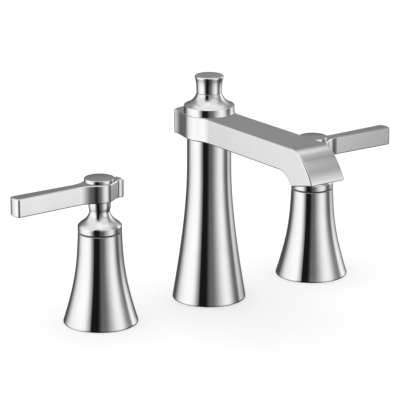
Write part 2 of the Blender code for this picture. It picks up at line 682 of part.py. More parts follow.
def make_aerator(shop, outlet):
    """Washer, insert and screwed housing, from the outlet face into the arm."""
    lip_bore = AERATOR_RADIUS - AERATOR_WALL - AERATOR_LIP_WIDTH
    top = AERATOR_INSET + AERATOR_LENGTH
    profile = [
        (AERATOR_RADIUS, top), (AERATOR_RADIUS, AERATOR_INSET), (lip_bore, AERATOR_INSET),
        (lip_bore, AERATOR_INSET + AERATOR_LIP),
        (AERATOR_RADIUS - AERATOR_WALL, AERATOR_INSET + AERATOR_LIP),
        (AERATOR_RADIUS - AERATOR_WALL, top),
    ]
    shop.add("aerator_housing", turned_mesh("aerator_housing", profile, TRIM_STEPS), "chrome", outlet)
    washer_bottom = top + FIT_GAP
    washer_top = washer_bottom + AERATOR_WASHER_THICKNESS
    make_ring(shop, "aerator_washer", lip_bore, AERATOR_RADIUS, washer_bottom, washer_top, "rubber", outlet)
    outlines = [circle(0, 0, AERATOR_RADIUS - AERATOR_WALL - FIT_GAP, TRIM_STEPS)]
    for ring in range(INSERT_RINGS + 1):
        count = max(1, HOLES_PER_RING * ring)
        for x, y in circle(0, 0, ring * INSERT_PITCH, count):
            outlines.append(circle(x, y, INSERT_HOLE_RADIUS, INSERT_HOLE_SIDES))
    insert = flat_curve("aerator_insert", outlines, INSERT_THICKNESS)
    insert_object = shop.add("aerator_insert", insert, "white_plastic", outlet)
    insert_object.location.z = AERATOR_INSET + AERATOR_LIP + FIT_GAP + INSERT_THICKNESS / 2


def make_spout_shank(shop):
    """The threaded tube from under the deck up into the arm, with its flange on the web."""
    top = ARM_BOTTOM + SHANK_SOCKET_DEPTH - FIT_GAP
    flange_bottom = WEB_TOP + FIT_GAP
    flange_top = flange_bottom + SHANK_FLANGE_THICKNESS
    profile = [
        (SHANK_RADIUS - THREAD_CHAMFER, top), (SHANK_RADIUS, top - THREAD_CHAMFER),
        (SHANK_RADIUS, flange_top), (SHANK_FLANGE_RADIUS, flange_top),
        (SHANK_FLANGE_RADIUS, flange_bottom), (SHANK_RADIUS, flange_bottom),
        (SHANK_RADIUS, THREAD_CHAMFER - SHANK_BELOW_DECK),
        (SHANK_RADIUS - THREAD_CHAMFER, -SHANK_BELOW_DECK), (SHANK_BORE, -SHANK_BELOW_DECK),
        (SHANK_BORE, top),
    ]
    shop.add("spout_shank", turned_mesh("spout_shank", profile, BODY_STEPS), "brass")


def tube_mesh(name, radius, top, bottom):
    """A tube down the shank, then bent aside below it to clear the lift rod."""
    bend_top = -SHANK_BELOW_DECK - TUBE_BEND_TOP
    bend_bottom = bend_top - TUBE_BEND_HEIGHT
    side = TUBE_END_OFFSET - TUBE_OFFSET
    points = [(TUBE_OFFSET, 0, top), (TUBE_OFFSET, 0, bend_top)]
    for share in TUBE_BEND_SHARES:
        ease = share * share * (3 - 2 * share)
        points.append((TUBE_OFFSET + side * ease, 0, bend_top + (bend_bottom - bend_top) * share))
    points += [(TUBE_END_OFFSET, 0, bend_bottom), (TUBE_END_OFFSET, 0, bottom)]
    curve = bpy.data.curves.new(name, "CURVE")
    curve.dimensions = "3D"
    curve.bevel_depth = radius
    curve.bevel_resolution = TUBE_RESOLUTION
    curve.use_fill_caps = True
    spline = curve.splines.new("POLY")
    spline.points.add(len(points) - 1)
    for point, place in zip(spline.points, points):
        point.co = (*place, 1.0)
    return settled_mesh(bpy.data.objects.new(name, curve))


def make_water_tube(shop):
    """The spout's supply tube, bored through, and the nipple on its lower end."""
    top = ARM_BOTTOM + SHANK_SOCKET_DEPTH + TUBE_WALL
    bottom = -SHANK_BELOW_DECK - TUBE_BEND_TOP - TUBE_BEND_HEIGHT - TUBE_TAIL
    tube = shop.add("spout_water_tube", tube_mesh("spout_water_tube", TUBE_RADIUS, top, bottom), "brass")
    bore = tube_mesh("tube_bore", TUBE_RADIUS - TUBE_WALL, top + CUT_OVERRUN, bottom - CUT_OVERRUN)
    combine(tube, shop.cutter("tube_bore", bore))
    nipple_top = bottom + NIPPLE_SOCKET
    nipple_bottom = nipple_top - NIPPLE_LENGTH
    socket = TUBE_RADIUS + FIT_GAP
    profile = [
        (NIPPLE_RADIUS - THREAD_CHAMFER, nipple_top), (NIPPLE_RADIUS, nipple_top - THREAD_CHAMFER),
        (NIPPLE_RADIUS, nipple_bottom + THREAD_CHAMFER),
        (NIPPLE_RADIUS - THREAD_CHAMFER, nipple_bottom), (TUBE_RADIUS - TUBE_WALL, nipple_bottom),
        (TUBE_RADIUS - TUBE_WALL, bottom - FIT_GAP), (socket, bottom - FIT_GAP), (socket, nipple_top),
    ]
    nipple = turned_mesh("spout_inlet_nipple", profile, INNER_STEPS)
    shop.add("spout_inlet_nipple", nipple, "brass").location.x = TUBE_END_OFFSET


def make_spout_mounting(shop):
    """Gasket on the deck, and rubber washer, metal washer and nut under it."""
    bore = SHANK_RADIUS + THREAD_PLAY
    make_ring(
        shop, "spout_gasket", bore, FOOT_RING_BORE - FIT_GAP, 0, GASKET_THICKNESS, "rubber",
        steps=TRIM_STEPS,
    )
    make_ring(
        shop, "spout_rubber_washer", bore, WASHER_RADIUS, RUBBER_WASHER_BOTTOM, DECK_UNDERSIDE,
        "rubber",
    )
    metal_top = RUBBER_WASHER_BOTTOM - FIT_GAP
    metal_bottom = metal_top - METAL_WASHER_THICKNESS
    make_ring(shop, "spout_metal_washer", bore, WASHER_RADIUS, metal_bottom, metal_top, "steel")
    nut_top = metal_bottom - FIT_GAP
    make_nut(
        shop, "spout_mounting_nut", SPOUT_NUT_FLATS, bore, nut_top - SPOUT_NUT_HEIGHT, nut_top, "brass"
    )


def make_finial(shop):
    """The bell on the arm, and the bush in it that guides the rod."""
    bore = GUIDE_RADIUS + FIT_GAP
    band_top = FINIAL_BOTTOM + FINIAL_BAND_TOP
    rise = FINIAL_TOP - band_top
    swell = FINIAL_BAND_RADIUS - FINIAL_NECK_RADIUS
    profile = [
        (FINIAL_NECK_RADIUS - FINIAL_TOP_EDGE, FINIAL_TOP),
        (FINIAL_NECK_RADIUS, FINIAL_TOP - FINIAL_TOP_EDGE),
    ]
    for level, share in reversed(FINIAL_BELL_SHARES):
        profile.append((FINIAL_NECK_RADIUS + swell * share, band_top + rise * level))
    profile += [
        (FINIAL_BAND_RADIUS, band_top), (FINIAL_BAND_RADIUS, FINIAL_BOTTOM + FINIAL_BAND_BOTTOM),
        (FINIAL_FOOT_RADIUS, FINIAL_BOTTOM + FINIAL_FOOT_HEIGHT), (FINIAL_FOOT_RADIUS, FINIAL_BOTTOM),
        (bore, FINIAL_BOTTOM), (bore, FINIAL_TOP),
    ]
    shop.add("finial_base", turned_mesh("finial_base", profile, TRIM_STEPS), "chrome")
    make_ring(
        shop, "lift_rod_guide", ROD_RADIUS + FIT_GAP, GUIDE_RADIUS,
        ARM_TOP - GUIDE_SEAT_DEPTH + FIT_GAP, FINIAL_TOP - GUIDE_TOP_INSET, "white_plastic",
        steps=INNER_STEPS,
    )


def make_lift_rod(shop):
    """The pull knob and its rod, which slide up and down together."""
    axis = shop.axis("lift_rod_axis")
    top = KNOB_BOTTOM + KNOB_HEIGHT
    swell = KNOB_LIP_RADIUS - KNOB_WAIST_RADIUS
    profile = [(0, top), (KNOB_FACE_RADIUS, top)]
    for level, share in KNOB_PROFILE_SHARES:
        profile.append((KNOB_WAIST_RADIUS + swell * share, KNOB_BOTTOM + KNOB_HEIGHT * level))
    hole = ROD_RADIUS + FIT_GAP
    profile += [
        (KNOB_WAIST_RADIUS - KNOB_GAP, KNOB_BOTTOM), (hole, KNOB_BOTTOM),
        (hole, KNOB_BOTTOM + ROD_SOCKET), (0, KNOB_BOTTOM + ROD_SOCKET),
    ]
    shop.add("lift_rod_knob", turned_mesh("lift_rod_knob", profile, TRIM_STEPS), "chrome", axis)
    rod_top = KNOB_BOTTOM + ROD_SOCKET - FIT_GAP
    rod = cylinder_mesh("lift_rod", ROD_RADIUS, -ROD_BELOW_DECK, rod_top, INNER_STEPS)
    shop.add("lift_rod", rod, "steel", axis)


def make_escutcheon(shop, side, base):
    """The flared shell round a valve. Its inner web screws down on the barrel."""
    outline = [
        (ESCUTCHEON_TOP_RADIUS - ESCUTCHEON_TOP_EDGE, ESCUTCHEON_HEIGHT),
        (ESCUTCHEON_TOP_RADIUS, ESCUTCHEON_HEIGHT - ESCUTCHEON_TOP_EDGE),
    ]
    outline += flared_outline(
        ESCUTCHEON_FLARE_SHARES, ESCUTCHEON_HEIGHT, ESCUTCHEON_TOP_RADIUS, FOOT_RADIUS
    )
    outline.append((FOOT_RADIUS, FOOT_BAND))
    thread = BARREL_RADIUS + THREAD_PLAY
    lip_top = WEB_BOTTOM + ESCUTCHEON_LIP_THICKNESS
    web_top = ESCUTCHEON_WEB_BOTTOM + ESCUTCHEON_WEB_THICKNESS
    seat_bottom = ESCUTCHEON_HEIGHT - GLIDE_SEAT_DEPTH
    profile = outline[:-1] + foot_points()
    profile += [
        (FOOT_RING_BORE, WEB_BOTTOM), (ESCUTCHEON_LIP_BORE, WEB_BOTTOM),
        (ESCUTCHEON_LIP_BORE, lip_top),
    ]
    profile += inner_wall(outline[1:], lip_top, ESCUTCHEON_WEB_BOTTOM)
    profile += [(thread, ESCUTCHEON_WEB_BOTTOM), (thread, web_top)]
    profile += inner_wall(outline[1:], web_top, seat_bottom)
    profile += [(GLIDE_SEAT_RADIUS, seat_bottom), (GLIDE_SEAT_RADIUS, ESCUTCHEON_HEIGHT)]
    name = side + "_escutcheon"
    shop.add(name, turned_mesh(name, profile, SHELL_STEPS), "chrome", base)


def make_glide_ring(shop, side, base):
    """The plastic ring on which the hub turns, seen as a dark line."""
    seat = ESCUTCHEON_HEIGHT - GLIDE_SEAT_DEPTH + FIT_GAP
    top = HUB_BOTTOM - FIT_GAP
    outer = GLIDE_SEAT_RADIUS - FIT_GAP
    sleeve = GLIDE_SLEEVE_RADIUS
    sleeve_bottom = seat - GLIDE_SLEEVE
    bore = sleeve - GLIDE_WALL
    profile = [
        (outer, top), (outer, seat), (sleeve, seat), (sleeve, sleeve_bottom), (bore, sleeve_bottom),
        (bore, top),
    ]
    name = side + "_glide_ring"
    shop.add(name, turned_mesh(name, profile, TRIM_STEPS), "black_plastic", base)


def make_valve_body(shop, side, base):
    """The barrel through the deck, with its inlet below and its outlet to the side."""
    flange_top = RUBBER_WASHER_BOTTOM - FIT_GAP
    flange_bottom = flange_top - BODY_FLANGE_THICKNESS
    lower_bottom = flange_bottom - BODY_LOWER_LENGTH
    inlet_bottom = lower_bottom - INLET_LENGTH
    profile = [
        (BONNET_THREAD_RADIUS, BARREL_TOP), (BONNET_THREAD_RADIUS, BARREL_STEP),
        (BARREL_RADIUS - BARREL_CHAMFER, BARREL_STEP), (BARREL_RADIUS, BARREL_STEP - BARREL_CHAMFER),
        (BARREL_RADIUS, flange_top), (BODY_FLANGE_RADIUS, flange_top),
        (BODY_FLANGE_RADIUS, flange_bottom), (BODY_LOWER_RADIUS, flange_bottom),
        (BODY_LOWER_RADIUS, lower_bottom), (INLET_RADIUS, lower_bottom),
        (INLET_RADIUS, inlet_bottom + BARREL_CHAMFER), (INLET_RADIUS - BARREL_CHAMFER, inlet_bottom),
        (INLET_BORE, inlet_bottom), (INLET_BORE, lower_bottom), (CHANNEL_BORE, lower_bottom),
        (CHANNEL_BORE, CARTRIDGE_FLOOR), (CARTRIDGE_BORE, CARTRIDGE_FLOOR), (CARTRIDGE_BORE, BARREL_TOP),
    ]
    name = side + "_valve_body"
    body = shop.add(name, turned_mesh(name, profile, BODY_STEPS), "brass", base)
    port_height = (flange_bottom + lower_bottom) / 2
    inside = CARTRIDGE_BORE
    nipple = cylinder_mesh(name + "_outlet", OUTLET_RADIUS, inside, OUTLET_REACH, INNER_STEPS)
    nipple_tool = shop.cutter(name + "_outlet", nipple, base)
    port = cylinder_mesh(name + "_port", OUTLET_BORE, inside, OUTLET_REACH + CUT_OVERRUN, INNER_STEPS)
    port_tool = shop.cutter(name + "_port", port, base)
    for tool in (nipple_tool, port_tool):
        tool.location.z = port_height
        tool.rotation_euler.y = -math.pi / 2
    channel_top = CARTRIDGE_FLOOR + FIT_GAP
    channel = cylinder_mesh(name + "_channel", OUTLET_CHANNEL_RADIUS, port_height, channel_top, INNER_STEPS)
    channel_tool = shop.cutter(name + "_channel", channel, base)
    channel_tool.location.x = -inside
    combine(body, nipple_tool, "UNION")
    combine(body, port_tool)
    combine(body, channel_tool)


def make_valve_mounting(shop, side, base):
    """Gasket, washers and nut that hold the valve body and the escutcheon to the deck."""
    bore = BARREL_RADIUS + THREAD_PLAY
    make_ring(
        shop, side + "_base_gasket", ESCUTCHEON_LIP_BORE, FOOT_RING_BORE - FIT_GAP, 0,
        GASKET_THICKNESS, "rubber", base, TRIM_STEPS,
    )
    make_ring(
        shop, side + "_shoulder_washer", bore, BODY_FLANGE_RADIUS, RUBBER_WASHER_BOTTOM,
        DECK_UNDERSIDE, "rubber", base,
    )
    make_ring(
        shop, side + "_deck_washer", bore, DECK_WASHER_RADIUS, 0, DECK_WASHER_THICKNESS, "steel", base
    )
    nut_bottom = DECK_WASHER_THICKNESS + FIT_GAP
    make_nut(
        shop, side + "_lock_nut", LOCK_NUT_FLATS, bore, nut_bottom, nut_bottom + LOCK_NUT_HEIGHT,
        "brass", base,
    )


def make_cartridge(shop, side, base):
    """Seal, fixed disc and body of the ceramic cartridge, and the bonnet nut over them."""
    seal_bottom = CARTRIDGE_FLOOR + FIT_GAP
    make_ring(
        shop, side + "_cartridge_seal", SEAL_BORE, SEAL_RADIUS, seal_bottom,
        seal_bottom + SEAL_THICKNESS, "rubber", base, INNER_STEPS,
    )
    ports = [circle(0, sign * PORT_OFFSET, PORT_RADIUS, INNER_STEPS // 2) for sign in (1, -1)]
    outlines = [circle(0, 0, DISC_RADIUS, BODY_STEPS), *ports]
    name = side + "_fixed_disc"
    disc = shop.add(name, flat_curve(name, outlines, DISC_THICKNESS), "ceramic", base)
    disc.location.z = FIXED_DISC_BOTTOM + DISC_THICKNESS / 2
    make_cartridge_body(shop, side, base)
    make_bonnet_nut(shop, side, base)


def make_cartridge_body(shop, side, base):
    """The plastic cup over the discs, with a window towards the outlet channel."""
    outer = CARTRIDGE_BORE - FIT_GAP
    stem_bore = STEM_RADIUS + FIT_GAP
    bottom = CARTRIDGE_FLOOR + FIT_GAP
    flange_bottom = BARREL_TOP + FIT_GAP
    flange_top = flange_bottom + CARTRIDGE_FLANGE_THICKNESS
    flange_radius = BONNET_THREAD_RADIUS - FIT_GAP
    profile = [
        (CARTRIDGE_NECK_RADIUS, CARTRIDGE_TOP), (CARTRIDGE_NECK_RADIUS, flange_top),
        (flange_radius, flange_top), (flange_radius, flange_bottom), (outer, flange_bottom),
        (outer, bottom), (CARTRIDGE_CHAMBER_RADIUS, bottom),
        (CARTRIDGE_CHAMBER_RADIUS, CARTRIDGE_SHOULDER), (stem_bore, CARTRIDGE_SHOULDER),
        (stem_bore, CARTRIDGE_TOP),
    ]
    name = side + "_cartridge_body"
    body = shop.add(name, turned_mesh(name, profile, BODY_STEPS), "white_plastic", base)
    low = (-outer - CUT_OVERRUN, -WINDOW_WIDTH / 2, bottom - CUT_OVERRUN)
    high = (-SEAL_RADIUS, WINDOW_WIDTH / 2, STEM_BOTTOM)
    combine(body, shop.cutter(name + "_window", box_mesh(name + "_window", low, high), base))


def make_bonnet_nut(shop, side, base):
    """The hexagon cap nut that holds the cartridge down in the barrel."""
    lip_bottom = BARREL_TOP + FIT_GAP + CARTRIDGE_FLANGE_THICKNESS + FIT_GAP
    top = lip_bottom + BONNET_LIP_THICKNESS
    bottom = BARREL_TOP - BONNET_SKIRT
    name = side + "_bonnet_nut"
    mesh = cylinder_mesh(name, BONNET_CORNER_RADIUS, bottom, top, HEXAGON_SIDES)
    nut = shop.add(name, mesh, "brass", base)
    thread = BONNET_THREAD_RADIUS + FIT_GAP
    profile = [
        (0, top + CUT_OVERRUN), (BONNET_LIP_BORE, top + CUT_OVERRUN), (BONNET_LIP_BORE, lip_bottom),
        (thread, lip_bottom), (thread, bottom - CUT_OVERRUN), (0, bottom - CUT_OVERRUN),
    ]
    combine(nut, shop.cutter(name + "_bore", turned_mesh(name + "_bore", profile, BODY_STEPS), base))


def make_rotating_disc(shop, side, axis):
    """The ceramic disc that the stem turns: two wings cover the ports when the valve is shut."""
    half = DISC_WING_ANGLE / 2
    wing = arc(0, 0, DISC_RADIUS, math.pi / 2 - half, math.pi / 2 + half)
    waist = arc(0, 0, DISC_WAIST_RADIUS, math.pi / 2 + half, 3 * math.pi / 2 - half)
    outline = wing + waist + [(-x, -y) for x, y in wing] + [(-x, -y) for x, y in waist]
    slot_x = TANG_WIDTH / 2 + FIT_GAP
    slot_y = TANG_LENGTH / 2 + FIT_GAP
    slot = [(slot_x, slot_y), (-slot_x, slot_y), (-slot_x, -slot_y), (slot_x, -slot_y)]
    name = side + "_rotating_disc"
    disc = shop.add(name, flat_curve(name, [outline, slot], DISC_THICKNESS), "ceramic", axis)
    disc.location.z = ROTATING_DISC_BOTTOM + DISC_THICKNESS / 2


def make_stem(shop, side, axis):
    """The stem with its tang in the disc, its O-ring groove and its screw hole, and the O-ring."""
    flange_top = STEM_BOTTOM + STEM_FLANGE_THICKNESS
    groove_top = BARREL_TOP + CARTRIDGE_NECK_HEIGHT
    groove_bottom = groove_top - O_RING_GROOVE_WIDTH
    hole = SCREW_RADIUS + FIT_GAP
    hole_bottom = LEVER_FLOOR_TOP + FIT_GAP - SCREW_LENGTH - SCREW_END_CLEARANCE
    profile = [
        (STEM_RADIUS - FIT_GAP, STEM_TOP), (STEM_RADIUS, STEM_TOP - FIT_GAP), (STEM_RADIUS, groove_top),
        (O_RING_GROOVE_RADIUS, groove_top), (O_RING_GROOVE_RADIUS, groove_bottom),
        (STEM_RADIUS, groove_bottom), (STEM_RADIUS, flange_top), (DISC_RADIUS, flange_top),
        (DISC_RADIUS, STEM_BOTTOM), (0, STEM_BOTTOM),
    ]
    bored = [(0, hole_bottom), (hole, hole_bottom), (hole, STEM_TOP)] + profile
    name = side + "_stem"
    stem = shop.add(name, turned_mesh(name, bored, INNER_STEPS), "brass", axis)
    tang_low = (-TANG_WIDTH / 2, -TANG_LENGTH / 2, STEM_BOTTOM - TANG_DEPTH)
    tang_high = (TANG_WIDTH / 2, TANG_LENGTH / 2, STEM_BOTTOM + STEM_FLANGE_THICKNESS / 2)
    tang = shop.cutter(name + "_tang", box_mesh(name + "_tang", tang_low, tang_high), axis)
    combine(stem, tang, "UNION")
    ring_name = side + "_stem_o_ring"
    minor = O_RING_THICKNESS / 2
    bpy.ops.mesh.primitive_torus_add(
        major_radius=O_RING_GROOVE_RADIUS + O_RING_PLAY + minor, minor_radius=minor,
        major_segments=INNER_STEPS, minor_segments=INNER_STEPS // 2,
    )
    torus = bpy.context.active_object
    mesh = torus.data
    bpy.data.objects.remove(torus)
    mesh.shade_smooth()
    ring = shop.add(ring_name, mesh, "rubber", axis)
    ring.location.z = (groove_bottom + groove_top) / 2


def make_hub(shop, side, axis):
    """The turning bell under the lever, hollow below and bored for the stem."""
    bore = STEM_RADIUS + FIT_GAP
    waist = HUB_BOTTOM + HUB_WAIST_HEIGHT
    band_top = HUB_BOTTOM + HUB_BAND_HEIGHT
    neck_swell = HUB_NECK_RADIUS - HUB_WAIST_RADIUS
    bell_swell = HUB_BAND_RADIUS - HUB_WAIST_RADIUS
    profile = [(HUB_NECK_RADIUS, HUB_TOP)]
    for level, share in HUB_NECK_SHARES:
        profile.append((HUB_WAIST_RADIUS + neck_swell * share, waist + (HUB_TOP - waist) * level))
    profile.append((HUB_WAIST_RADIUS, waist))
    for level, share in reversed(HUB_BELL_SHARES):
        profile.append((HUB_WAIST_RADIUS + bell_swell * share, band_top + (waist - band_top) * level))
    hollow_radius = HUB_BAND_RADIUS - HUB_WALL
    hollow_top = HUB_BOTTOM + HUB_HOLLOW_DEPTH
    profile += [
        (HUB_BAND_RADIUS, band_top), (HUB_BAND_RADIUS, HUB_BOTTOM + HUB_BAND_EDGE),
        (HUB_BAND_RADIUS - HUB_BAND_EDGE, HUB_BOTTOM), (hollow_radius, HUB_BOTTOM),
        (hollow_radius, band_top - HUB_BAND_EDGE), (HUB_WAIST_RADIUS, hollow_top), (bore, hollow_top),
        (bore, HUB_TOP),
    ]
    name = side + "_hub"
    shop.add(name, turned_mesh(name, profile, TRIM_STEPS), "chrome", axis)


def make_lever(shop, side, axis):
    """The lever: bar, collar and tail, with a bore for the stem and a pocket for the screw.

    The collar's middle lies a little way along the bar from the axis that the lever turns on.
    """
    shift = LEVER_COLLAR_SHIFT
    tip = bulged_end(LEVER_REACH - shift, LEVER_TIP_HALF_WIDTH, LEVER_TIP_BULGE)
    tail_reach = LEVER_TAIL_REACH + shift
    outline = collared_outline(
        LEVER_COLLAR_RADIUS, tip, LEVER_ROOT_HALF_WIDTH, LEVER_BLEND_RADIUS,
        (tail_reach, LEVER_TAIL_NECK, LEVER_TAIL_FLANK, LEVER_TAIL_BLEND, LEVER_TAIL_BULGE),
    )
    outline = [(x + shift, y) for x, y in outline]
    name = side + "_lever"
    lever = shop.add(name, flat_mesh(name, [outline], LEVER_HEIGHT), "chrome", axis)
    lever.location.z = (LEVER_BOTTOM + LEVER_TOP) / 2
    round_edges(lever, LEVER_EDGE)
    bore = STEM_RADIUS + FIT_GAP
    profile = [
        (0, LEVER_TOP + CUT_OVERRUN), (LEVER_POCKET_RADIUS, LEVER_TOP + CUT_OVERRUN),
        (LEVER_POCKET_RADIUS, LEVER_FLOOR_TOP), (bore, LEVER_FLOOR_TOP),
        (bore, LEVER_BOTTOM - CUT_OVERRUN), (0, LEVER_BOTTOM - CUT_OVERRUN),
    ]
    combine(lever, shop.cutter(name + "_pocket", turned_mesh(name + "_pocket", profile, TRIM_STEPS), axis))


def make_handle_screw(shop, side, axis):
    """The screw down the stem, with a hexagon socket in its head."""
    head_bottom = LEVER_FLOOR_TOP + FIT_GAP
    head_top = head_bottom + SCREW_HEAD_HEIGHT
    profile = [
        (0, head_top), (SCREW_HEAD_RADIUS - SCREW_SOCKET_DEPTH, head_top),
        (SCREW_HEAD_RADIUS, head_top - SCREW_SOCKET_DEPTH), (SCREW_HEAD_RADIUS, head_bottom),
        (SCREW_RADIUS, head_bottom), (SCREW_RADIUS, head_bottom - SCREW_LENGTH),
        (0, head_bottom - SCREW_LENGTH),
    ]
    name = side + "_handle_screw"
    screw = shop.add(name, turned_mesh(name, profile, INNER_STEPS), "steel", axis)
    low = head_top - SCREW_SOCKET_DEPTH
    high = head_top + CUT_OVERRUN
    socket = cylinder_mesh(name + "_socket", SCREW_SOCKET_RADIUS, low, high, HEXAGON_SIDES)
    combine(screw, shop.cutter(name + "_socket", socket, axis))


def make_cap(shop, side, axis):
    """The round cap over the screw, on a spigot in the lever's pocket."""
    bottom = LEVER_TOP + FIT_GAP
    top = bottom + CAP_HEIGHT
    spigot = LEVER_POCKET_RADIUS - FIT_GAP
    spigot_bottom = LEVER_FLOOR_TOP + FIT_GAP + SCREW_HEAD_HEIGHT + CAP_SPIGOT_CLEARANCE
    profile = [
        (0, top), (CAP_RADIUS - CAP_EDGE, top), (CAP_RADIUS, top - CAP_EDGE), (CAP_RADIUS, bottom),
        (spigot, bottom), (spigot, spigot_bottom), (0, spigot_bottom),
    ]
    name = side + "_cap"
    shop.add(name, turned_mesh(name, profile, TRIM_STEPS), "chrome", axis)


def make_spout(shop):
    """The spout: column, arm, outlet, shank, mounting, finial and lift rod."""
    reach, height, tilt = outlet_place()
    outlet = shop.axis("outlet_axis", (0, -reach, height))
    outlet.rotation_euler.x = -tilt
    make_spout_column(shop)
    make_spout_arm(shop, outlet)
    make_aerator(shop, outlet)
    make_spout_shank(shop)
    make_water_tube(shop)
    make_spout_mounting(shop)
    make_finial(shop)
    make_lift_rod(shop)


def make_handle(shop, side, place, turn):
    """One handle: what stands on the deck rides on its base, what turns on its axis."""
    base = shop.axis(side + "_valve_base", (place, 0, 0), turn)
    axis = shop.axis(side + "_handle_axis", (place, 0, 0), turn)
    make_escutcheon(shop, side, base)
    make_glide_ring(shop, side, base)
    make_valve_body(shop, side, base)
    make_valve_mounting(shop, side, base)
    make_cartridge(shop, side, base)
    make_rotating_disc(shop, side, axis)
    make_stem(shop, side, axis)
    make_hub(shop, side, axis)
    make_lever(shop, side, axis)
    make_handle_screw(shop, side, axis)
    make_cap(shop, side, axis)


def main():
    clear_scene()
    shop = Workshop()
    make_spout(shop)
    make_handle(shop, "left", -HANDLE_SPACING, math.pi)
    make_handle(shop, "right", HANDLE_SPACING, 0.0)


main()
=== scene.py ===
"""Looks of a widespread bathroom faucet in polished chrome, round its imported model, in metres.

+Z is up and the deck's top is at z = 0. The spout's axis is the Z axis, and its arm reaches
towards -Y, where the user stands. Each chrome piece in view is made again here with finer
curves and rounded edges, in the place and to the sizes that the frame gives.
"""
import json
import math

import bmesh
import bpy
from mathutils import Matrix, Vector


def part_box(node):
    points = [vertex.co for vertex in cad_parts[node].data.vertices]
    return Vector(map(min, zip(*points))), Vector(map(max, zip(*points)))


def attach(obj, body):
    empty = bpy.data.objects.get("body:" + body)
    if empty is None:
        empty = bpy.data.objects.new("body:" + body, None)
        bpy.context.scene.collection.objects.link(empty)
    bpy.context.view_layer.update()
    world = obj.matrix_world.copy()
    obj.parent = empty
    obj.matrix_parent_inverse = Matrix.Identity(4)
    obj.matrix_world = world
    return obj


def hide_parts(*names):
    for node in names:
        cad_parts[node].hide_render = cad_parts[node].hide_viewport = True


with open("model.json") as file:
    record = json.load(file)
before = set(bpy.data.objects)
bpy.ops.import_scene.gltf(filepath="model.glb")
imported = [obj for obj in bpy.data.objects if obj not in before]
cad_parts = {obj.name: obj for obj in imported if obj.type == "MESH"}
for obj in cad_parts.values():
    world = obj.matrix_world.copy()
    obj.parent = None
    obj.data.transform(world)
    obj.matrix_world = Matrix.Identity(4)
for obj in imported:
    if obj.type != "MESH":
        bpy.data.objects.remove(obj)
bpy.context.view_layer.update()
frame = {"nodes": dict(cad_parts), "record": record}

# The curve between light values and greys on a screen
SRGB_TOE = 0.04045
SRGB_TOE_SLOPE = 12.92
SRGB_OFFSET = 0.055
SRGB_POWER = 2.4

# Camera, at the angle of the photograph
CAMERA_AZIMUTH = math.radians(-36)
CAMERA_ELEVATION = math.radians(16.385)
CAMERA_PLACE = (-1.13361, -1.54838, 0.64228)
CAMERA_LENS = 233
CAMERA_SENSOR = 36
CAMERA_NEAR = 0.05
CAMERA_FAR = 60

# Fineness of the meshes
TURN_STEPS = 128
CURVE_STEPS = 6
ROUND_SEGMENTS = 4
EDGE_SEGMENTS = 4
ARC_STEP = math.radians(3)
SHARP_ANGLE = math.radians(30)
TOP_FACING_SHARE = 0.3
EVEN_WEIGHT = 100
MERGE_DISTANCE = 0.000005
CUT_OVERRUN = 0.002
FIT_GAP = 0.0003

# Foot and shell walls
FOOT_BAND = 0.0013
FOOT_ROUND = 0.0007
SHELL_WALL = 0.0022
SHANK_CLEARANCE = 0.0010
BARREL_CLEARANCE = 0.0005
THREAD_PLAY = 0.0004
LIP_WIDTH = 0.0032
LIP_THICKNESS = 0.0022
WEB_THICKNESS = 0.0042
TOP_ROUND = 0.0004
INNER_ROUND = 0.0003

# Spout column, with heights as shares of its height and swells as shares of its flare
COLUMN_TOP_RADIUS = 0.0170
COLUMN_FLARE_SHARES = (
    (0.78, 0.0), (0.70, 0.040), (0.62, 0.090), (0.54, 0.168), (0.46, 0.262), (0.385, 0.362),
    (0.31, 0.478), (0.23, 0.603), (0.155, 0.735), (0.078, 0.875),
)

# Spout arm, seen from above
ARM_DEPTH = 0.0190
ARM_ROOT_HALF_WIDTH = 0.0148
ARM_TIP_HALF_WIDTH = 0.0156
ARM_BLEND_RADIUS = 0.0220
ARM_TAIL_NECK = 0.0159
ARM_TAIL_FLANK = 0.0110
ARM_TAIL_BLEND = 0.0380
ARM_TAIL_BULGE = 0.0037
ARM_ROUND = 0.0013
ARM_LOWER_ROUND_SHARE = 0.9
ARM_CORNER = 0.0015

# Spout arm, seen from the side
ARM_BEND_START = 0.1186
ARM_BEND_RADIUS = 0.0236
ARM_BEND_TURN = math.radians(46.8)
ARM_DROP_RADIUS = 0.0570
ARM_DROP_TURN = math.radians(18.8)
ARM_INNER_START = 0.1060
ARM_INNER_RADIUS = 0.0173
ARM_INNER_TURN = math.radians(64)

# Outlet in the arm's tip
AERATOR_RADIUS = 0.0084
AERATOR_WALL = 0.0012
AERATOR_INSET = 0.0005
AERATOR_LIP = 0.0008
AERATOR_LIP_WIDTH = 0.0010
AERATOR_LENGTH = 0.0057
AERATOR_SHIFT = 0.0015
AERATOR_ROUND = 0.0003
SEAT_DEPTH = 0.0080

# Finial and pull knob
FINIAL_FOOT_HEIGHT = 0.0003
FINIAL_BAND_INSET = 0.0002
FINIAL_BAND_BOTTOM = 0.0011
FINIAL_BAND_TOP = 0.0055
FINIAL_NECK_RADIUS = 0.0095
FINIAL_BELL_SHARES = (
    (0.035, 0.96), (0.104, 0.77), (0.208, 0.595), (0.312, 0.452), (0.42, 0.336), (0.52, 0.24),
    (0.67, 0.143), (0.83, 0.07),
)
KNOB_WAIST_RADIUS = 0.00975
KNOB_FACE_RADIUS = 0.0103
KNOB_PROFILE_SHARES = (
    (0.963, 0.89), (0.911, 1.0), (0.807, 0.71), (0.696, 0.39), (0.511, 0.14), (0.29, 0.02),
    (0.04, 0.0),
)
KNOB_CROWN = 0.0003
KNOB_SOCKET = 0.0082
ROD_RADIUS = 0.0024
GUIDE_RADIUS = 0.0045

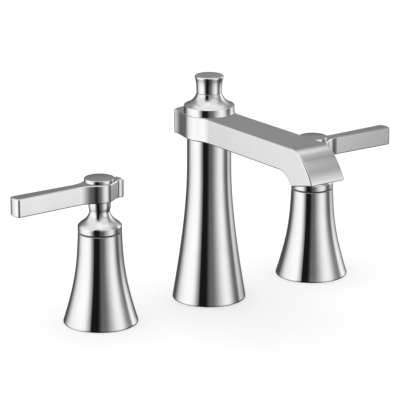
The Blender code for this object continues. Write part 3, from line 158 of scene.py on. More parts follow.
# Escutcheon of a handle
ESCUTCHEON_TOP_RADIUS = 0.0166
ESCUTCHEON_WEB_DEPTH = 0.0326
ESCUTCHEON_WEB_THICKNESS = 0.0060
ESCUTCHEON_FLARE_SHARES = (
    (0.85, 0.040), (0.71, 0.095), (0.57, 0.197), (0.46, 0.305), (0.354, 0.442), (0.248, 0.60),
    (0.142, 0.775), (0.065, 0.905),
)
GLIDE_SEAT_WALL = 0.0012
GLIDE_SEAT_DEPTH = 0.0016

# Hub under the lever
HUB_BAND_HEIGHT = 0.0045
HUB_WAIST_RADIUS = 0.0076
HUB_WAIST_HEIGHT = 0.0159
HUB_NECK_RADIUS = 0.0084
HUB_NECK_SHARES = ((0.4, 1.0), (0.2, 0.6))
HUB_HOLLOW_DEPTH = 0.0085
HUB_WALL = 0.0025
HUB_BELL_SHARES = (
    (0.05, 0.97), (0.13, 0.88), (0.22, 0.74), (0.35, 0.51), (0.48, 0.335), (0.61, 0.2),
    (0.79, 0.06),
)
HUB_ROUND = 0.0007
BAND_ROUND = 0.0002
STEM_RADIUS = 0.0041

# Lever and cap
LEVER_TIP_BULGE = 0.0015
LEVER_ROOT_HALF_WIDTH = 0.0049
LEVER_TIP_HALF_WIDTH = 0.0061
LEVER_COLLAR_RADIUS = 0.0118
LEVER_COLLAR_SHIFT = 0.0012
LEVER_BLEND_RADIUS = 0.0210
LEVER_TAIL_REACH = 0.0186
LEVER_TAIL_NECK = 0.0046
LEVER_TAIL_FLANK = 0.0085
LEVER_TAIL_BLEND = 0.0060
LEVER_TAIL_BULGE = 0.0007
LEVER_ROUND = 0.0012
LEVER_LOWER_ROUND_SHARE = 0.9
LEVER_CORNER = 0.0013
LEVER_FLOOR = 0.0045
LEVER_POCKET_RADIUS = 0.0080
CAP_ROUND = 0.0006
CAP_CROWN = 0.0004

# Details of the materials
NOISE_LOW = 0.3
NOISE_HIGH = 0.7
RELIEF_DEPTH = 0.0002
FINE_RELIEF_DEPTH = 0.0001
# Painted shade in the chrome's crevices, from ambient occlusion: its reach, its depth and its
# samples
CREVICE_SHADE_REACH = 0.0005
CREVICE_SHADE_DEPTH = 0.6
CREVICE_SHADE_SAMPLES = 8

# Studio
WORLD_LEVEL = 0.9
DOME_RADIUS = 1.1
DOME_STRENGTH = 1.22
DOME_STEPS = 96

# Light dome. Each panel has a level as a share of white, and four edges in azimuth and four in
# elevation, in degrees, between which it fades in and out, and a lean in degrees a degree.
# Azimuth runs from the camera, with the camera's right positive.
BASE_LEVEL = 0.28
ALL_ROUND = (-400, -300, 300, 400)
PANELS = {
    "low wall": (0.39, ALL_ROUND, (-32, 6, 100, 110), 0),
    "high wall": (0.55, ALL_ROUND, (8, 44, 100, 110), 0),
    "right wall": (0.53, (60, 80, 120, 150), (-12, 10, 100, 110), 0),
    "rear wall": (0.53, (136, 160, 190, 216), (12, 24, 60, 80), 0),
    "rear card": (0.30, (-184, -162, -142, -114), (-60, -50, 6, 34), 0),
    "ceiling": (0.935, ALL_ROUND, (44, 80, 100, 110), 0),
    "rear ceiling": (0.90, (112, 146, 214, 240), (40, 62, 100, 110), 0),
    "right ceiling": (0.85, (-5, 40, 70, 98), (36, 50, 70, 90), 0),
    "left softbox top": (0.88, (-136, -100, -56, -28), (26, 36, 62, 85), 0),
    "left softbox": (0.90, (-138, -98, -64, -34), (-56, 0, 30, 42), 0),
    "left softbox core": (0.985, (-112, -72, -62, -27), (-56, 0, 30, 42), 0.2),
    "right softbox": (0.94, (9, 58, 62, 95), (-60, 0, 28, 46), 0),
    "rear softbox": (0.97, (103, 118, 126, 162), (-21, 2, 22, 50), 0.1),
    "dark flag": (0.09, (-34, -29, -11, 7), (-100, -90, 38, 76), -0.06),
    "dark floor": (0.12, ALL_ROUND, (-110, -100, -62, -46), 0),
}
FLOOR_RADIUS = 4.0
BACKDROP_BEND = 1.0
BACKDROP_HEIGHT = 4.0
FLOOR_GLOW = 0.2
LIGHT_SIZE = 2.0
LIGHT_HEIGHT = 2.2
LIGHT_POWER = 10


def grey(level):
    """The light value of a grey that shows as this share of white, on the sRGB curve."""
    if level <= SRGB_TOE:
        return level / SRGB_TOE_SLOPE
    return ((level + SRGB_OFFSET) / (1 + SRGB_OFFSET)) ** SRGB_POWER


def turned_box(node):
    """A turned CAD node's axis along X, its largest radius, its bottom and its top."""
    low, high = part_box(node)
    return (low.x + high.x) / 2, (high.x - low.x) / 2, low.z, high.z


def smooth_curve(points, steps=CURVE_STEPS):
    """A cubic B-spline along the points, which starts and ends on the outer ones."""
    held = [points[0]] * 2 + list(points) + [points[-1]] * 2
    curve = []
    for index in range(len(held) - 3):
        four = held[index:index + 4]
        for step in range(steps):
            t = step / steps
            shares = (
                (1 - t) ** 3, 3 * t ** 3 - 6 * t ** 2 + 4,
                -3 * t ** 3 + 3 * t ** 2 + 3 * t + 1, t ** 3,
            )
            curve.append(tuple(
                sum(share * point[axis] for share, point in zip(shares, four)) / 6
                for axis in (0, 1)
            ))
    curve.append(points[-1])
    return curve


def rounded(corners):
    """The profile with each (radius, height, round) corner turned into an arc of that radius."""
    points = []
    for index, corner in enumerate(corners):
        if len(corner) == 2:
            points.append(corner)
            continue
        before = Vector(corners[index - 1][:2])
        here = Vector(corner[:2])
        after = Vector(corners[(index + 1) % len(corners)][:2])
        into = (before - here).normalized()
        out = (after - here).normalized()
        half = into.angle(out) / 2
        reach = corner[2] / math.tan(half)
        centre = here + (into + out).normalized() * corner[2] / math.sin(half)
        start = here + into * reach - centre
        turn = start.angle_signed(here + out * reach - centre)
        for step in range(ROUND_SEGMENTS + 1):
            angle = -turn * step / ROUND_SEGMENTS
            points.append(tuple(centre + Matrix.Rotation(angle, 2) @ start))
    return points


def arc(centre_x, centre_y, radius, start, end):
    """Points along an arc, both ends included."""
    count = max(2, math.ceil(abs(end - start) / ARC_STEP) + 1)
    points = []
    for index in range(count):
        angle = start + (end - start) * index / (count - 1)
        points.append((centre_x + radius * math.cos(angle), centre_y + radius * math.sin(angle)))
    return points


def flared_wall(shares, height, top_radius, foot_radius):
    """The smooth outer side of a flared shell, from its straight top down to its foot's band."""
    swell = foot_radius - top_radius
    points = [(top_radius + swell * share, height * level) for level, share in shares]
    return smooth_curve([(top_radius, height)] + points + [(foot_radius, FOOT_BAND)])


def inner_wall(outer, bottom, top):
    """Points up the inside of a shell, a wall inside its outer side."""
    between = [(r - SHELL_WALL, z) for r, z in reversed(outer[::CURVE_STEPS]) if bottom < z < top]
    return [(wall_radius(outer, bottom) - SHELL_WALL, bottom)] + between + [
        (wall_radius(outer, top) - SHELL_WALL, top)
    ]


def wall_radius(outer, height):
    """The radius of an outer side at a height, read between its points."""
    for (upper_radius, upper), (lower_radius, lower) in zip(outer, outer[1:]):
        if lower <= height <= upper and upper > lower:
            return lower_radius + (upper_radius - lower_radius) * (height - lower) / (upper - lower)
    return outer[0][0]


def turned_mesh(name, profile, steps=TURN_STEPS):
    """A turned solid from (radius, height) points down its outer side and back up its bore."""
    mesh = bpy.data.meshes.new(name)
    points = [(radius, 0.0, height) for radius, height in profile]
    edges = [(index, index + 1) for index in range(len(points) - 1)]
    if profile[0][0] > 0:
        edges.append((len(points) - 1, 0))
    mesh.from_pydata(points, edges, [])
    holder = bpy.data.objects.new(name, mesh)
    sweep = holder.modifiers.new("Turn", "SCREW")
    sweep.axis = "Z"
    sweep.angle = math.tau
    sweep.steps = steps
    sweep.render_steps = steps
    sweep.use_merge_vertices = True
    sweep.merge_threshold = MERGE_DISTANCE
    return settled_mesh(holder)


def settled_mesh(holder):
    """The evaluated mesh of an object that isn't needed further, welded and turned outward."""
    bpy.context.scene.collection.objects.link(holder)
    graph = bpy.context.evaluated_depsgraph_get()
    mesh = bpy.data.meshes.new_from_object(holder.evaluated_get(graph))
    mesh.name = holder.name
    bpy.data.objects.remove(holder)
    body = bmesh.new()
    body.from_mesh(mesh)
    bmesh.ops.remove_doubles(body, verts=body.verts, dist=MERGE_DISTANCE)
    bmesh.ops.recalc_face_normals(body, faces=body.faces)
    body.to_mesh(mesh)
    body.free()
    return mesh


def flat_object(name, outline, bottom, top):
    """An extruded outline as a loose object, for pieces that are cut and rounded."""
    mesh = bpy.data.meshes.new(name)
    body = bmesh.new()
    face = body.faces.new([body.verts.new((x, y, bottom)) for x, y in outline])
    lifted = bmesh.ops.extrude_face_region(body, geom=[face])["geom"]
    raised = [item for item in lifted if isinstance(item, bmesh.types.BMVert)]
    bmesh.ops.translate(body, verts=raised, vec=(0, 0, top - bottom))
    bmesh.ops.recalc_face_normals(body, faces=body.faces)
    body.to_mesh(mesh)
    body.free()
    return bpy.data.objects.new(name, mesh)


def cut(obj, tool, operation="DIFFERENCE"):
    """Cuts a loose object with another, or keeps what they share, and drops the tool."""
    bpy.context.scene.collection.objects.link(tool)
    modifier = obj.modifiers.new("Cut", "BOOLEAN")
    modifier.operation = operation
    modifier.solver = "EXACT"
    modifier.object = tool
    name = obj.name
    mesh = settled_mesh(obj)
    bpy.data.objects.remove(tool)
    return bpy.data.objects.new(name, mesh)


def round_edges(obj, width, lower_share):
    """Rounds a loose object's sharp edges: those of its top fully, the others by a share."""
    body = bmesh.new()
    body.from_mesh(obj.data)
    weights = body.edges.layers.float.new("bevel_weight_edge")
    for edge in body.edges:
        if edge.calc_face_angle(0) > SHARP_ANGLE:
            on_top = max(face.normal.z for face in edge.link_faces) > TOP_FACING_SHARE
            edge[weights] = 1 if on_top else lower_share
    body.to_mesh(obj.data)
    body.free()
    modifier = obj.modifiers.new("Edges", "BEVEL")
    modifier.width = width
    modifier.segments = EDGE_SEGMENTS
    modifier.limit_method = "WEIGHT"
    modifier.use_clamp_overlap = False
    name = obj.name
    return bpy.data.objects.new(name, settled_mesh(obj))


def cylinder_object(name, radius, bottom, top):
    """A loose cylinder, as a tool for a bore."""
    outline = [(0, top), (radius, top), (radius, bottom), (0, bottom)]
    return bpy.data.objects.new(name, turned_mesh(name, outline, TURN_STEPS // 2))


def taken_mesh(obj):
    """The mesh of a loose object, which is no longer needed itself."""
    mesh = obj.data
    bpy.data.objects.remove(obj)
    return mesh


def piece(name, mesh, material, body, node):
    """A finished piece that stands for a CAD node and moves with its body."""
    obj = bpy.data.objects.new(name, mesh)
    bpy.context.scene.collection.objects.link(obj)
    mesh.shade_smooth()
    mesh.set_sharp_from_angle(angle=SHARP_ANGLE)
    mesh.materials.clear()
    mesh.materials.append(material)
    even = obj.modifiers.new("Even shading", "WEIGHTED_NORMAL")
    even.keep_sharp = True
    even.weight = EVEN_WEIGHT
    obj.visible_glossy = False
    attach(obj, body)
    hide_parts(node)
    return obj


# Materials


def new_material(name, colour, metallic, roughness):
    """A Principled material, and the nodes that its details hang on."""
    material = bpy.data.materials.new(name)
    material.use_nodes = True
    shader = material.node_tree.nodes["Principled BSDF"]
    shader.inputs["Base Color"].default_value = (*colour, 1.0)
    shader.inputs["Metallic"].default_value = metallic
    shader.inputs["Roughness"].default_value = roughness
    material.diffuse_color = (*colour, 1.0)
    return material, material.node_tree, shader


def noise(tree, scale, detail=2.0, stretch=(1, 1, 1)):
    """A noise value over the object's own coordinates."""
    place = tree.nodes.new("ShaderNodeTexCoord")
    mapping = tree.nodes.new("ShaderNodeMapping")
    mapping.inputs["Scale"].default_value = stretch
    texture = tree.nodes.new("ShaderNodeTexNoise")
    texture.inputs["Scale"].default_value = scale
    texture.inputs["Detail"].default_value = detail
    tree.links.new(place.outputs["Object"], mapping.inputs["Vector"])
    tree.links.new(mapping.outputs["Vector"], texture.inputs["Vector"])
    return texture.outputs["Fac"]


def vary_roughness(tree, shader, value, low, high):
    """Spreads the roughness between two values over a noise."""
    spread = tree.nodes.new("ShaderNodeMapRange")
    spread.inputs["From Min"].default_value = NOISE_LOW
    spread.inputs["From Max"].default_value = NOISE_HIGH
    spread.inputs["To Min"].default_value = low
    spread.inputs["To Max"].default_value = high
    tree.links.new(value, spread.inputs["Value"])
    tree.links.new(spread.outputs["Result"], shader.inputs["Roughness"])


def vary_colour(tree, shader, value, dark, light):
    """Spreads the colour between two tones over a noise."""
    ramp = tree.nodes.new("ShaderNodeValToRGB")
    ramp.color_ramp.elements[0].position = NOISE_LOW
    ramp.color_ramp.elements[0].color = (*dark, 1.0)
    ramp.color_ramp.elements[1].position = NOISE_HIGH
    ramp.color_ramp.elements[1].color = (*light, 1.0)
    tree.links.new(value, ramp.inputs["Fac"])
    tree.links.new(ramp.outputs["Color"], shader.inputs["Base Color"])


def paint_crevice_shade(tree, shader, reach, depth):
    """Paints shade into the colour where other surfaces stand close by, darkening it by up to a
    depth.
    """
    near = tree.nodes.new("ShaderNodeAmbientOcclusion")
    near.samples = CREVICE_SHADE_SAMPLES
    near.inputs["Distance"].default_value = reach
    spread = tree.nodes.new("ShaderNodeMapRange")
    spread.inputs["To Min"].default_value = 1 - depth
    tree.links.new(near.outputs["AO"], spread.inputs["Value"])
    shade = tree.nodes.new("ShaderNodeMix")
    shade.data_type = "RGBA"
    shade.blend_type = "MULTIPLY"
    shade.inputs["Factor"].default_value = 1
    tree.links.new(shader.inputs["Base Color"].links[0].from_socket, shade.inputs["A"])
    tree.links.new(spread.outputs["Result"], shade.inputs["B"])
    tree.links.new(shade.outputs["Result"], shader.inputs["Base Color"])


def add_bump(tree, shader, value, strength, distance):
    """A fine relief over a noise."""
    bump = tree.nodes.new("ShaderNodeBump")
    bump.inputs["Strength"].default_value = strength
    bump.inputs["Distance"].default_value = distance
    tree.links.new(value, bump.inputs["Height"])
    tree.links.new(bump.outputs["Normal"], shader.inputs["Normal"])


def make_chrome():
    """Bright nickel-chrome plating: a clear mirror with a breath of haze in patches, and painted
    shade in its crevices.
    """
    material, tree, shader = new_material("polished_chrome", (0.80, 0.80, 0.81), 1.0, 0.03)
    haze = noise(tree, 60, 3.0)
    vary_roughness(tree, shader, haze, 0.015, 0.045)
    vary_colour(tree, shader, haze, (0.80, 0.80, 0.81), (0.83, 0.83, 0.835))
    # Painted shade in the chrome's colour where other pieces stand close
    paint_crevice_shade(tree, shader, CREVICE_SHADE_REACH, CREVICE_SHADE_DEPTH)
    return material


def make_brass():
    """Machined brass with fine turning marks."""
    material, tree, shader = new_material("turned_brass", (0.72, 0.52, 0.25), 1.0, 0.3)
    rings = noise(tree, 300, 2.0, (0.2, 0.2, 6))
    vary_roughness(tree, shader, rings, 0.2, 0.42)
    vary_colour(tree, shader, rings, (0.62, 0.43, 0.19), (0.76, 0.57, 0.29))
    add_bump(tree, shader, rings, 0.15, RELIEF_DEPTH)
    return material


def make_steel():
    """Stainless steel with a faint grain."""
    material, tree, shader = new_material("stainless_steel", (0.62, 0.62, 0.63), 1.0, 0.28)
    grain = noise(tree, 400, 3.0, (0.3, 0.3, 4))
    vary_roughness(tree, shader, grain, 0.18, 0.36)
    vary_colour(tree, shader, grain, (0.55, 0.55, 0.56), (0.67, 0.67, 0.68))
    add_bump(tree, shader, grain, 0.1, FINE_RELIEF_DEPTH)
    return material


def make_rubber():
    """Dull black rubber with a little dust."""
    material, tree, shader = new_material("black_rubber", (0.02, 0.02, 0.02), 0.0, 0.8)
    dust = noise(tree, 500, 4.0)
    vary_roughness(tree, shader, dust, 0.65, 0.9)
    vary_colour(tree, shader, dust, (0.014, 0.014, 0.014), (0.035, 0.035, 0.034))
    add_bump(tree, shader, dust, 0.3, RELIEF_DEPTH)
    return material


def make_black_plastic():
    """Moulded black plastic with a satin grain."""
    material, tree, shader = new_material("black_plastic", (0.03, 0.03, 0.03), 0.0, 0.45)
    grain = noise(tree, 900, 2.0)
    vary_roughness(tree, shader, grain, 0.35, 0.55)
    vary_colour(tree, shader, grain, (0.02, 0.02, 0.021), (0.035, 0.035, 0.036))
    add_bump(tree, shader, grain, 0.2, FINE_RELIEF_DEPTH)
    return material


def make_white_plastic():
    """Moulded white plastic with a satin grain."""
    material, tree, shader = new_material("white_plastic", (0.8, 0.8, 0.78), 0.0, 0.4)
    grain = noise(tree, 600, 2.0)
    vary_roughness(tree, shader, grain, 0.3, 0.5)
    vary_colour(tree, shader, grain, (0.76, 0.76, 0.74), (0.82, 0.82, 0.8))
    add_bump(tree, shader, grain, 0.15, FINE_RELIEF_DEPTH)
    return material


def make_ceramic():
    """Lapped ceramic, slightly warm."""
    material, tree, shader = new_material("ceramic", (0.88, 0.86, 0.82), 0.0, 0.15)
    grain = noise(tree, 1200, 2.0)
    vary_roughness(tree, shader, grain, 0.08, 0.2)
    vary_colour(tree, shader, grain, (0.85, 0.83, 0.79), (0.9, 0.88, 0.85))
    return material


def make_materials():
    """One material for each slot of the record."""
    return {
        "chrome": make_chrome(),
        "brass": make_brass(),
        "stainless_steel": make_steel(),
        "rubber": make_rubber(),
        "black_plastic": make_black_plastic(),
        "white_plastic": make_white_plastic(),
        "ceramic": make_ceramic(),
    }


def dress_nodes(materials):
    """Gives each CAD node the material of its slot."""
    slots = {part["node"]: part["material_slot"] for part in frame["record"]["subparts"]}
    for name, obj in frame["nodes"].items():
        obj.visible_glossy = False
        if not obj.material_slots:
            obj.data.materials.append(None)
        for place in obj.material_slots:
            place.material = materials[slots[name]]


# Pieces


def foot_profile(radius, ring_bore):
    """The foot's lower edge and the flat ring that stands on the deck."""
    return [(radius, 0, FOOT_ROUND), (ring_bore, 0, INNER_ROUND)]


def make_column(chrome):
    """The flared shell under the arm, with the web that the shank's flange presses down."""
    _, radius, _, height = turned_box("spout_column")
    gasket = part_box("spout_gasket")[1]
    ring_bore = gasket.x + FIT_GAP
    web_bottom = gasket.z + FIT_GAP
    web_top = web_bottom + WEB_THICKNESS
    shank_bore = COLUMN_TOP_RADIUS - SHELL_WALL - SHANK_CLEARANCE + THREAD_PLAY
    wall = flared_wall(COLUMN_FLARE_SHARES, height, COLUMN_TOP_RADIUS, radius)
    corners = [(COLUMN_TOP_RADIUS, height, TOP_ROUND)] + wall[1:] + foot_profile(radius, ring_bore)
    corners += [(ring_bore, web_bottom), (shank_bore, web_bottom), (shank_bore, web_top)]
    corners += inner_wall(wall, web_top, height - TOP_ROUND)
    corners.append((COLUMN_TOP_RADIUS - SHELL_WALL, height))
    name = "spout_column_shell"
    return piece(name, turned_mesh(name, rounded(corners)), chrome, "root", "spout_column")


def make_escutcheon(chrome, side):
    """The flared shell round a valve, with the web that screws down on its barrel."""
    place, radius, _, height = turned_box(side + "_escutcheon")
    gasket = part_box(side + "_base_gasket")[1]
    ring_bore = gasket.x - place + FIT_GAP
    lip_bottom = gasket.z + FIT_GAP
    lip_top = lip_bottom + LIP_THICKNESS
    thread = ESCUTCHEON_TOP_RADIUS - SHELL_WALL - BARREL_CLEARANCE + THREAD_PLAY
    web_bottom = height - ESCUTCHEON_WEB_DEPTH
    web_top = web_bottom + ESCUTCHEON_WEB_THICKNESS
    seat = height - GLIDE_SEAT_DEPTH
    seat_radius = ESCUTCHEON_TOP_RADIUS - GLIDE_SEAT_WALL
    wall = flared_wall(ESCUTCHEON_FLARE_SHARES, height, ESCUTCHEON_TOP_RADIUS, radius)
    corners = [(ESCUTCHEON_TOP_RADIUS, height, TOP_ROUND)] + wall[1:]
    corners += foot_profile(radius, ring_bore)
    lip_bore = ring_bore - LIP_WIDTH
    corners += [(ring_bore, lip_bottom), (lip_bore, lip_bottom), (lip_bore, lip_top)]
    corners += inner_wall(wall, lip_top, web_bottom) + [(thread, web_bottom), (thread, web_top)]
    corners += inner_wall(wall, web_top, seat) + [(seat_radius, seat), (seat_radius, height)]
    name = side + "_escutcheon_shell"
    mesh = turned_mesh(name, rounded(corners))
    mesh.transform(Matrix.Translation((place, 0, 0)))
    return piece(name, mesh, chrome, "root", side + "_escutcheon")


def make_hub(chrome, side):
    """The turning bell under the lever, hollow below and bored for the stem."""
    place, band_radius, bottom, top = turned_box(side + "_hub")
    waist = bottom + HUB_WAIST_HEIGHT
    band_top = bottom + HUB_BAND_HEIGHT
    neck_swell = HUB_NECK_RADIUS - HUB_WAIST_RADIUS
    bell_swell = band_radius - HUB_WAIST_RADIUS
    points = [(HUB_NECK_RADIUS, top)]
    for level, share in HUB_NECK_SHARES:
        points.append((HUB_WAIST_RADIUS + neck_swell * share, waist + (top - waist) * level))
    points.append((HUB_WAIST_RADIUS, waist))
    for level, share in reversed(HUB_BELL_SHARES):
        level_height = band_top + (waist - band_top) * level
        points.append((HUB_WAIST_RADIUS + bell_swell * share, level_height))
    points.append((band_radius, band_top))
    bore = STEM_RADIUS + FIT_GAP
    hollow_radius = band_radius - HUB_WALL
    hollow_top = bottom + HUB_HOLLOW_DEPTH
    corners = smooth_curve(points)[:-1] + [(band_radius, band_top, BAND_ROUND)]
    corners += [(band_radius, bottom, HUB_ROUND), (hollow_radius, bottom, INNER_ROUND)]
    corners += [(hollow_radius, band_top - HUB_ROUND), (HUB_WAIST_RADIUS, hollow_top)]
    corners += [(bore, hollow_top), (bore, top)]
    name = side + "_hub_bell"
    mesh = turned_mesh(name, rounded(corners))
    mesh.transform(Matrix.Translation((place, 0, 0)))
    return piece(name, mesh, chrome, side + "_handle", side + "_hub")


def collared_outline(collar, tip_end, root, blend, tail):
    """A bar along +X from a round collar, with a short flared tail behind it, seen from above.

    The bar blends into the collar with one fillet on each side. The tail leaves the collar
    along straight flanks, and the fillet after them runs on past the tail's narrowest place
    and so flares its end.
    """
    tail_reach, neck, flank, tail_blend, tail_bulge = tail
    centre_x = math.sqrt((collar + blend) ** 2 - (root + blend) ** 2)
    lean = math.atan2(root + blend, centre_x)
    tail_x = math.sqrt((collar + tail_blend) ** 2 + flank ** 2 - (neck + tail_blend) ** 2)
    tail_lean = math.atan2(neck + tail_blend, tail_x) + math.atan2(flank, collar + tail_blend)
    flare = math.acos((tail_reach - tail_x) / tail_blend) - math.pi
    tail_half = neck + tail_blend + tail_blend * math.sin(flare)
    side = list(tip_end)
    side += arc(centre_x, root + blend, blend, -math.pi / 2, lean - math.pi)
    side += arc(0, 0, collar, lean, math.pi - tail_lean)[1:]
    fillet = arc(-tail_x, neck + tail_blend, tail_blend, -tail_lean, flare)
    side += fillet
    tail_end = bulged_end(tail_reach, tail_half, tail_bulge)
    side += [(-x, y) for x, y in reversed(tail_end)][1:]
    mirrored = [(x, -y) for x, y in reversed(side) if y > MERGE_DISTANCE]
    return side + mirrored


def eased_corners(outline, reach):
    """A closed outline with each sharp corner turned into a curve that starts a reach before it."""
    points = [Vector(point) for point in outline]
    eased = []
    corners = []
    for index, here in enumerate(points):
        into = here - points[index - 1]
        out = points[(index + 1) % len(points)] - here
        if into.angle(out) > SHARP_ANGLE:
            corners.append(here)
    for index, here in enumerate(points):
        near = [corner for corner in corners if (here - corner).length < reach]
        if not near:
            eased.append(here)
        elif near[0] == here:
            start = far_point(points, index, -1, reach)
            end = far_point(points, index, 1, reach)
            for step in range(ROUND_SEGMENTS + 1):
                t = step / ROUND_SEGMENTS
                eased.append(start * (1 - t) ** 2 + here * 2 * t * (1 - t) + end * t ** 2)
    return [tuple(point) for point in eased]


def far_point(points, index, direction, reach):
    """The point of a closed outline at a straight distance from one of its corners."""
    corner = points[index]
    near = corner
    far = points[(index + direction) % len(points)]
    while (far - corner).length < reach:
        index += direction
        near = far
        far = points[(index + direction) % len(points)]
    return near.lerp(far, (reach - (near - corner).length) / (far - near).length)


def bulged_end(reach, half_width, bulge):
    """Half of a slightly round bar end, from its middle to its corner at +Y."""
    radius = (half_width ** 2 + bulge ** 2) / (2 * bulge)
    return arc(reach + bulge - radius, 0, radius, 0, math.asin(half_width / radius))


def make_lever(chrome, side):
    """The lever: bar, collar and tail, with a bore for the stem and a pocket for the screw.

    The collar's middle lies a little way along the bar from the axis that the lever turns on.
    """
    low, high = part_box(side + "_lever")
    place = turned_box(side + "_hub")[0]
    reach = max(high.x - place, place - low.x) - LEVER_TIP_BULGE
    shift = LEVER_COLLAR_SHIFT
    tip = bulged_end(reach - shift, LEVER_TIP_HALF_WIDTH, LEVER_TIP_BULGE)
    tail_reach = LEVER_TAIL_REACH + shift
    outline = collared_outline(
        LEVER_COLLAR_RADIUS, tip, LEVER_ROOT_HALF_WIDTH, LEVER_BLEND_RADIUS,
        (tail_reach, LEVER_TAIL_NECK, LEVER_TAIL_FLANK, LEVER_TAIL_BLEND, LEVER_TAIL_BULGE),
    )
    outline = [(x + shift, y) for x, y in outline]
    name = side + "_lever_bar"
    floor = low.z + LEVER_FLOOR
    bore = STEM_RADIUS + FIT_GAP
    pocket_profile = [
        (0, high.z + CUT_OVERRUN), (LEVER_POCKET_RADIUS, high.z + CUT_OVERRUN),
        (LEVER_POCKET_RADIUS, floor), (bore, floor), (bore, low.z - CUT_OVERRUN),
        (0, low.z - CUT_OVERRUN),
    ]
    pocket = bpy.data.objects.new("pocket", turned_mesh("pocket", pocket_profile, TURN_STEPS // 2))
    bar = flat_object(name, eased_corners(outline, LEVER_CORNER), low.z, high.z)
    bar = round_edges(bar, LEVER_ROUND, LEVER_LOWER_ROUND_SHARE)
    mesh = taken_mesh(cut(bar, pocket))
    turn = math.pi if side == "left" else 0
    mesh.transform(Matrix.Translation((place, 0, 0)) @ Matrix.Rotation(turn, 4, "Z"))
    return piece(name, mesh, chrome, side + "_handle", side + "_lever")


def crowned_top(radius, top, crown):
    """Points over a slightly domed round top, from its middle to its rim."""
    sphere = (radius ** 2 + crown ** 2) / (2 * crown)
    turned = arc(0, top - sphere, sphere, math.pi / 2, math.pi / 2 - math.asin(radius / sphere))
    return [(0, top)] + turned[1:]


def make_cap(chrome, side):
    """The round cap over the screw, on a spigot in the lever's pocket."""
    place, radius, spigot_bottom, top = turned_box(side + "_cap")
    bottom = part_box(side + "_lever")[1].z + FIT_GAP
    spigot = LEVER_POCKET_RADIUS - FIT_GAP
    corners = crowned_top(radius, top, CAP_CROWN)[:-1] + [
        (radius, top - CAP_CROWN, CAP_ROUND), (radius, bottom, INNER_ROUND), (spigot, bottom),
        (spigot, spigot_bottom), (0, spigot_bottom),
    ]
    name = side + "_cap_disc"
    mesh = turned_mesh(name, rounded(corners))
    mesh.transform(Matrix.Translation((place, 0, 0)))
    return piece(name, mesh, chrome, side + "_handle", side + "_cap")


def arm_side_outline(top):
    """The arm from the side as (reach, height) points, and the two corners of its outlet face."""
    bottom = top - ARM_DEPTH
    turn = ARM_BEND_TURN + ARM_DROP_TURN
    inner_low = math.pi / 2 - ARM_INNER_TURN
    inner_z = bottom - ARM_INNER_RADIUS
    inner = arc(ARM_INNER_START, inner_z, ARM_INNER_RADIUS, math.pi / 2, inner_low)
    bend_end = math.pi / 2 - ARM_BEND_TURN
    bend = arc(ARM_BEND_START, top - ARM_BEND_RADIUS, ARM_BEND_RADIUS, math.pi / 2, bend_end)
    join_x, join_z = bend[-1]
    drop_x = join_x - ARM_DROP_RADIUS * math.cos(bend_end)
    drop_z = join_z - ARM_DROP_RADIUS * math.sin(bend_end)
    drop = arc(drop_x, drop_z, ARM_DROP_RADIUS, bend_end, math.pi / 2 - turn)
    back = -2 * ARM_ROOT_HALF_WIDTH
    outline = [(back, bottom)] + inner + list(reversed(bend + drop[1:])) + [(back, top)]
    return outline, inner[-1], drop[-1]


def outlet_matrix(top):
    """The aerator's own place: on the outlet face, with +Z into the arm."""
    _, inner_corner, outer_corner = arm_side_outline(top)
    run = outer_corner[0] - inner_corner[0]
    rise = outer_corner[1] - inner_corner[1]
    tilt = math.atan2(rise, run)
    reach = (inner_corner[0] + outer_corner[0]) / 2 - AERATOR_SHIFT * math.cos(tilt)
    height = (inner_corner[1] + outer_corner[1]) / 2 - AERATOR_SHIFT * math.sin(tilt)
    return Matrix.Translation((0, -reach, height)) @ Matrix.Rotation(-tilt, 4, "X")


def make_arm(chrome):
    """The arm: its outline from above, cut to its shape from the side, rounded, then bored."""
    low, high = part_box("spout_arm")
    collar = high.x
    tail_reach = high.y - ARM_TAIL_BULGE
    end = -low.y + CUT_OVERRUN
    plan = collared_outline(
        collar, [(end, ARM_TIP_HALF_WIDTH)], ARM_ROOT_HALF_WIDTH, ARM_BLEND_RADIUS,
        (tail_reach, ARM_TAIL_NECK, ARM_TAIL_FLANK, ARM_TAIL_BLEND, ARM_TAIL_BULGE),
    )
    name = "spout_arm_body"
    plan = eased_corners(plan, ARM_CORNER)
    arm = flat_object(name, plan, low.z - CUT_OVERRUN, high.z + CUT_OVERRUN)
    side = flat_object("arm_side", arm_side_outline(high.z)[0], -2 * collar, 2 * collar)
    side.data.transform(Matrix.Rotation(math.pi / 2, 4, "X"))
    arm = round_edges(cut(arm, side, "INTERSECT"), ARM_ROUND, ARM_LOWER_ROUND_SHARE)
    arm.data.transform(Matrix.Rotation(-math.pi / 2, 4, "Z"))
    bottom = high.z - ARM_DEPTH
    rod_low = bottom - CUT_OVERRUN
    rod_high = high.z + CUT_OVERRUN
    rod = cylinder_object("rod_bore", ROD_RADIUS + FIT_GAP, rod_low, rod_high)
    seat = cylinder_object("aerator_seat", AERATOR_RADIUS + FIT_GAP, -CUT_OVERRUN, SEAT_DEPTH)
    seat.data.transform(outlet_matrix(high.z))
    mesh = taken_mesh(cut(cut(arm, rod), seat))
    return piece(name, mesh, chrome, "root", "spout_arm")


def make_aerator(chrome):
    """The screwed housing round the outlet's insert."""
    lip_bore = AERATOR_RADIUS - AERATOR_WALL - AERATOR_LIP_WIDTH
    bore = AERATOR_RADIUS - AERATOR_WALL
    top = AERATOR_INSET + AERATOR_LENGTH
    corners = [
        (AERATOR_RADIUS, top), (AERATOR_RADIUS, AERATOR_INSET, AERATOR_ROUND),
        (lip_bore, AERATOR_INSET, AERATOR_ROUND), (lip_bore, AERATOR_INSET + AERATOR_LIP),
        (bore, AERATOR_INSET + AERATOR_LIP), (bore, top),
    ]
    name = "aerator_ring"
    mesh = turned_mesh(name, rounded(corners))
    mesh.transform(outlet_matrix(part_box("spout_arm")[1].z))
    return piece(name, mesh, chrome, "root", "aerator_housing")


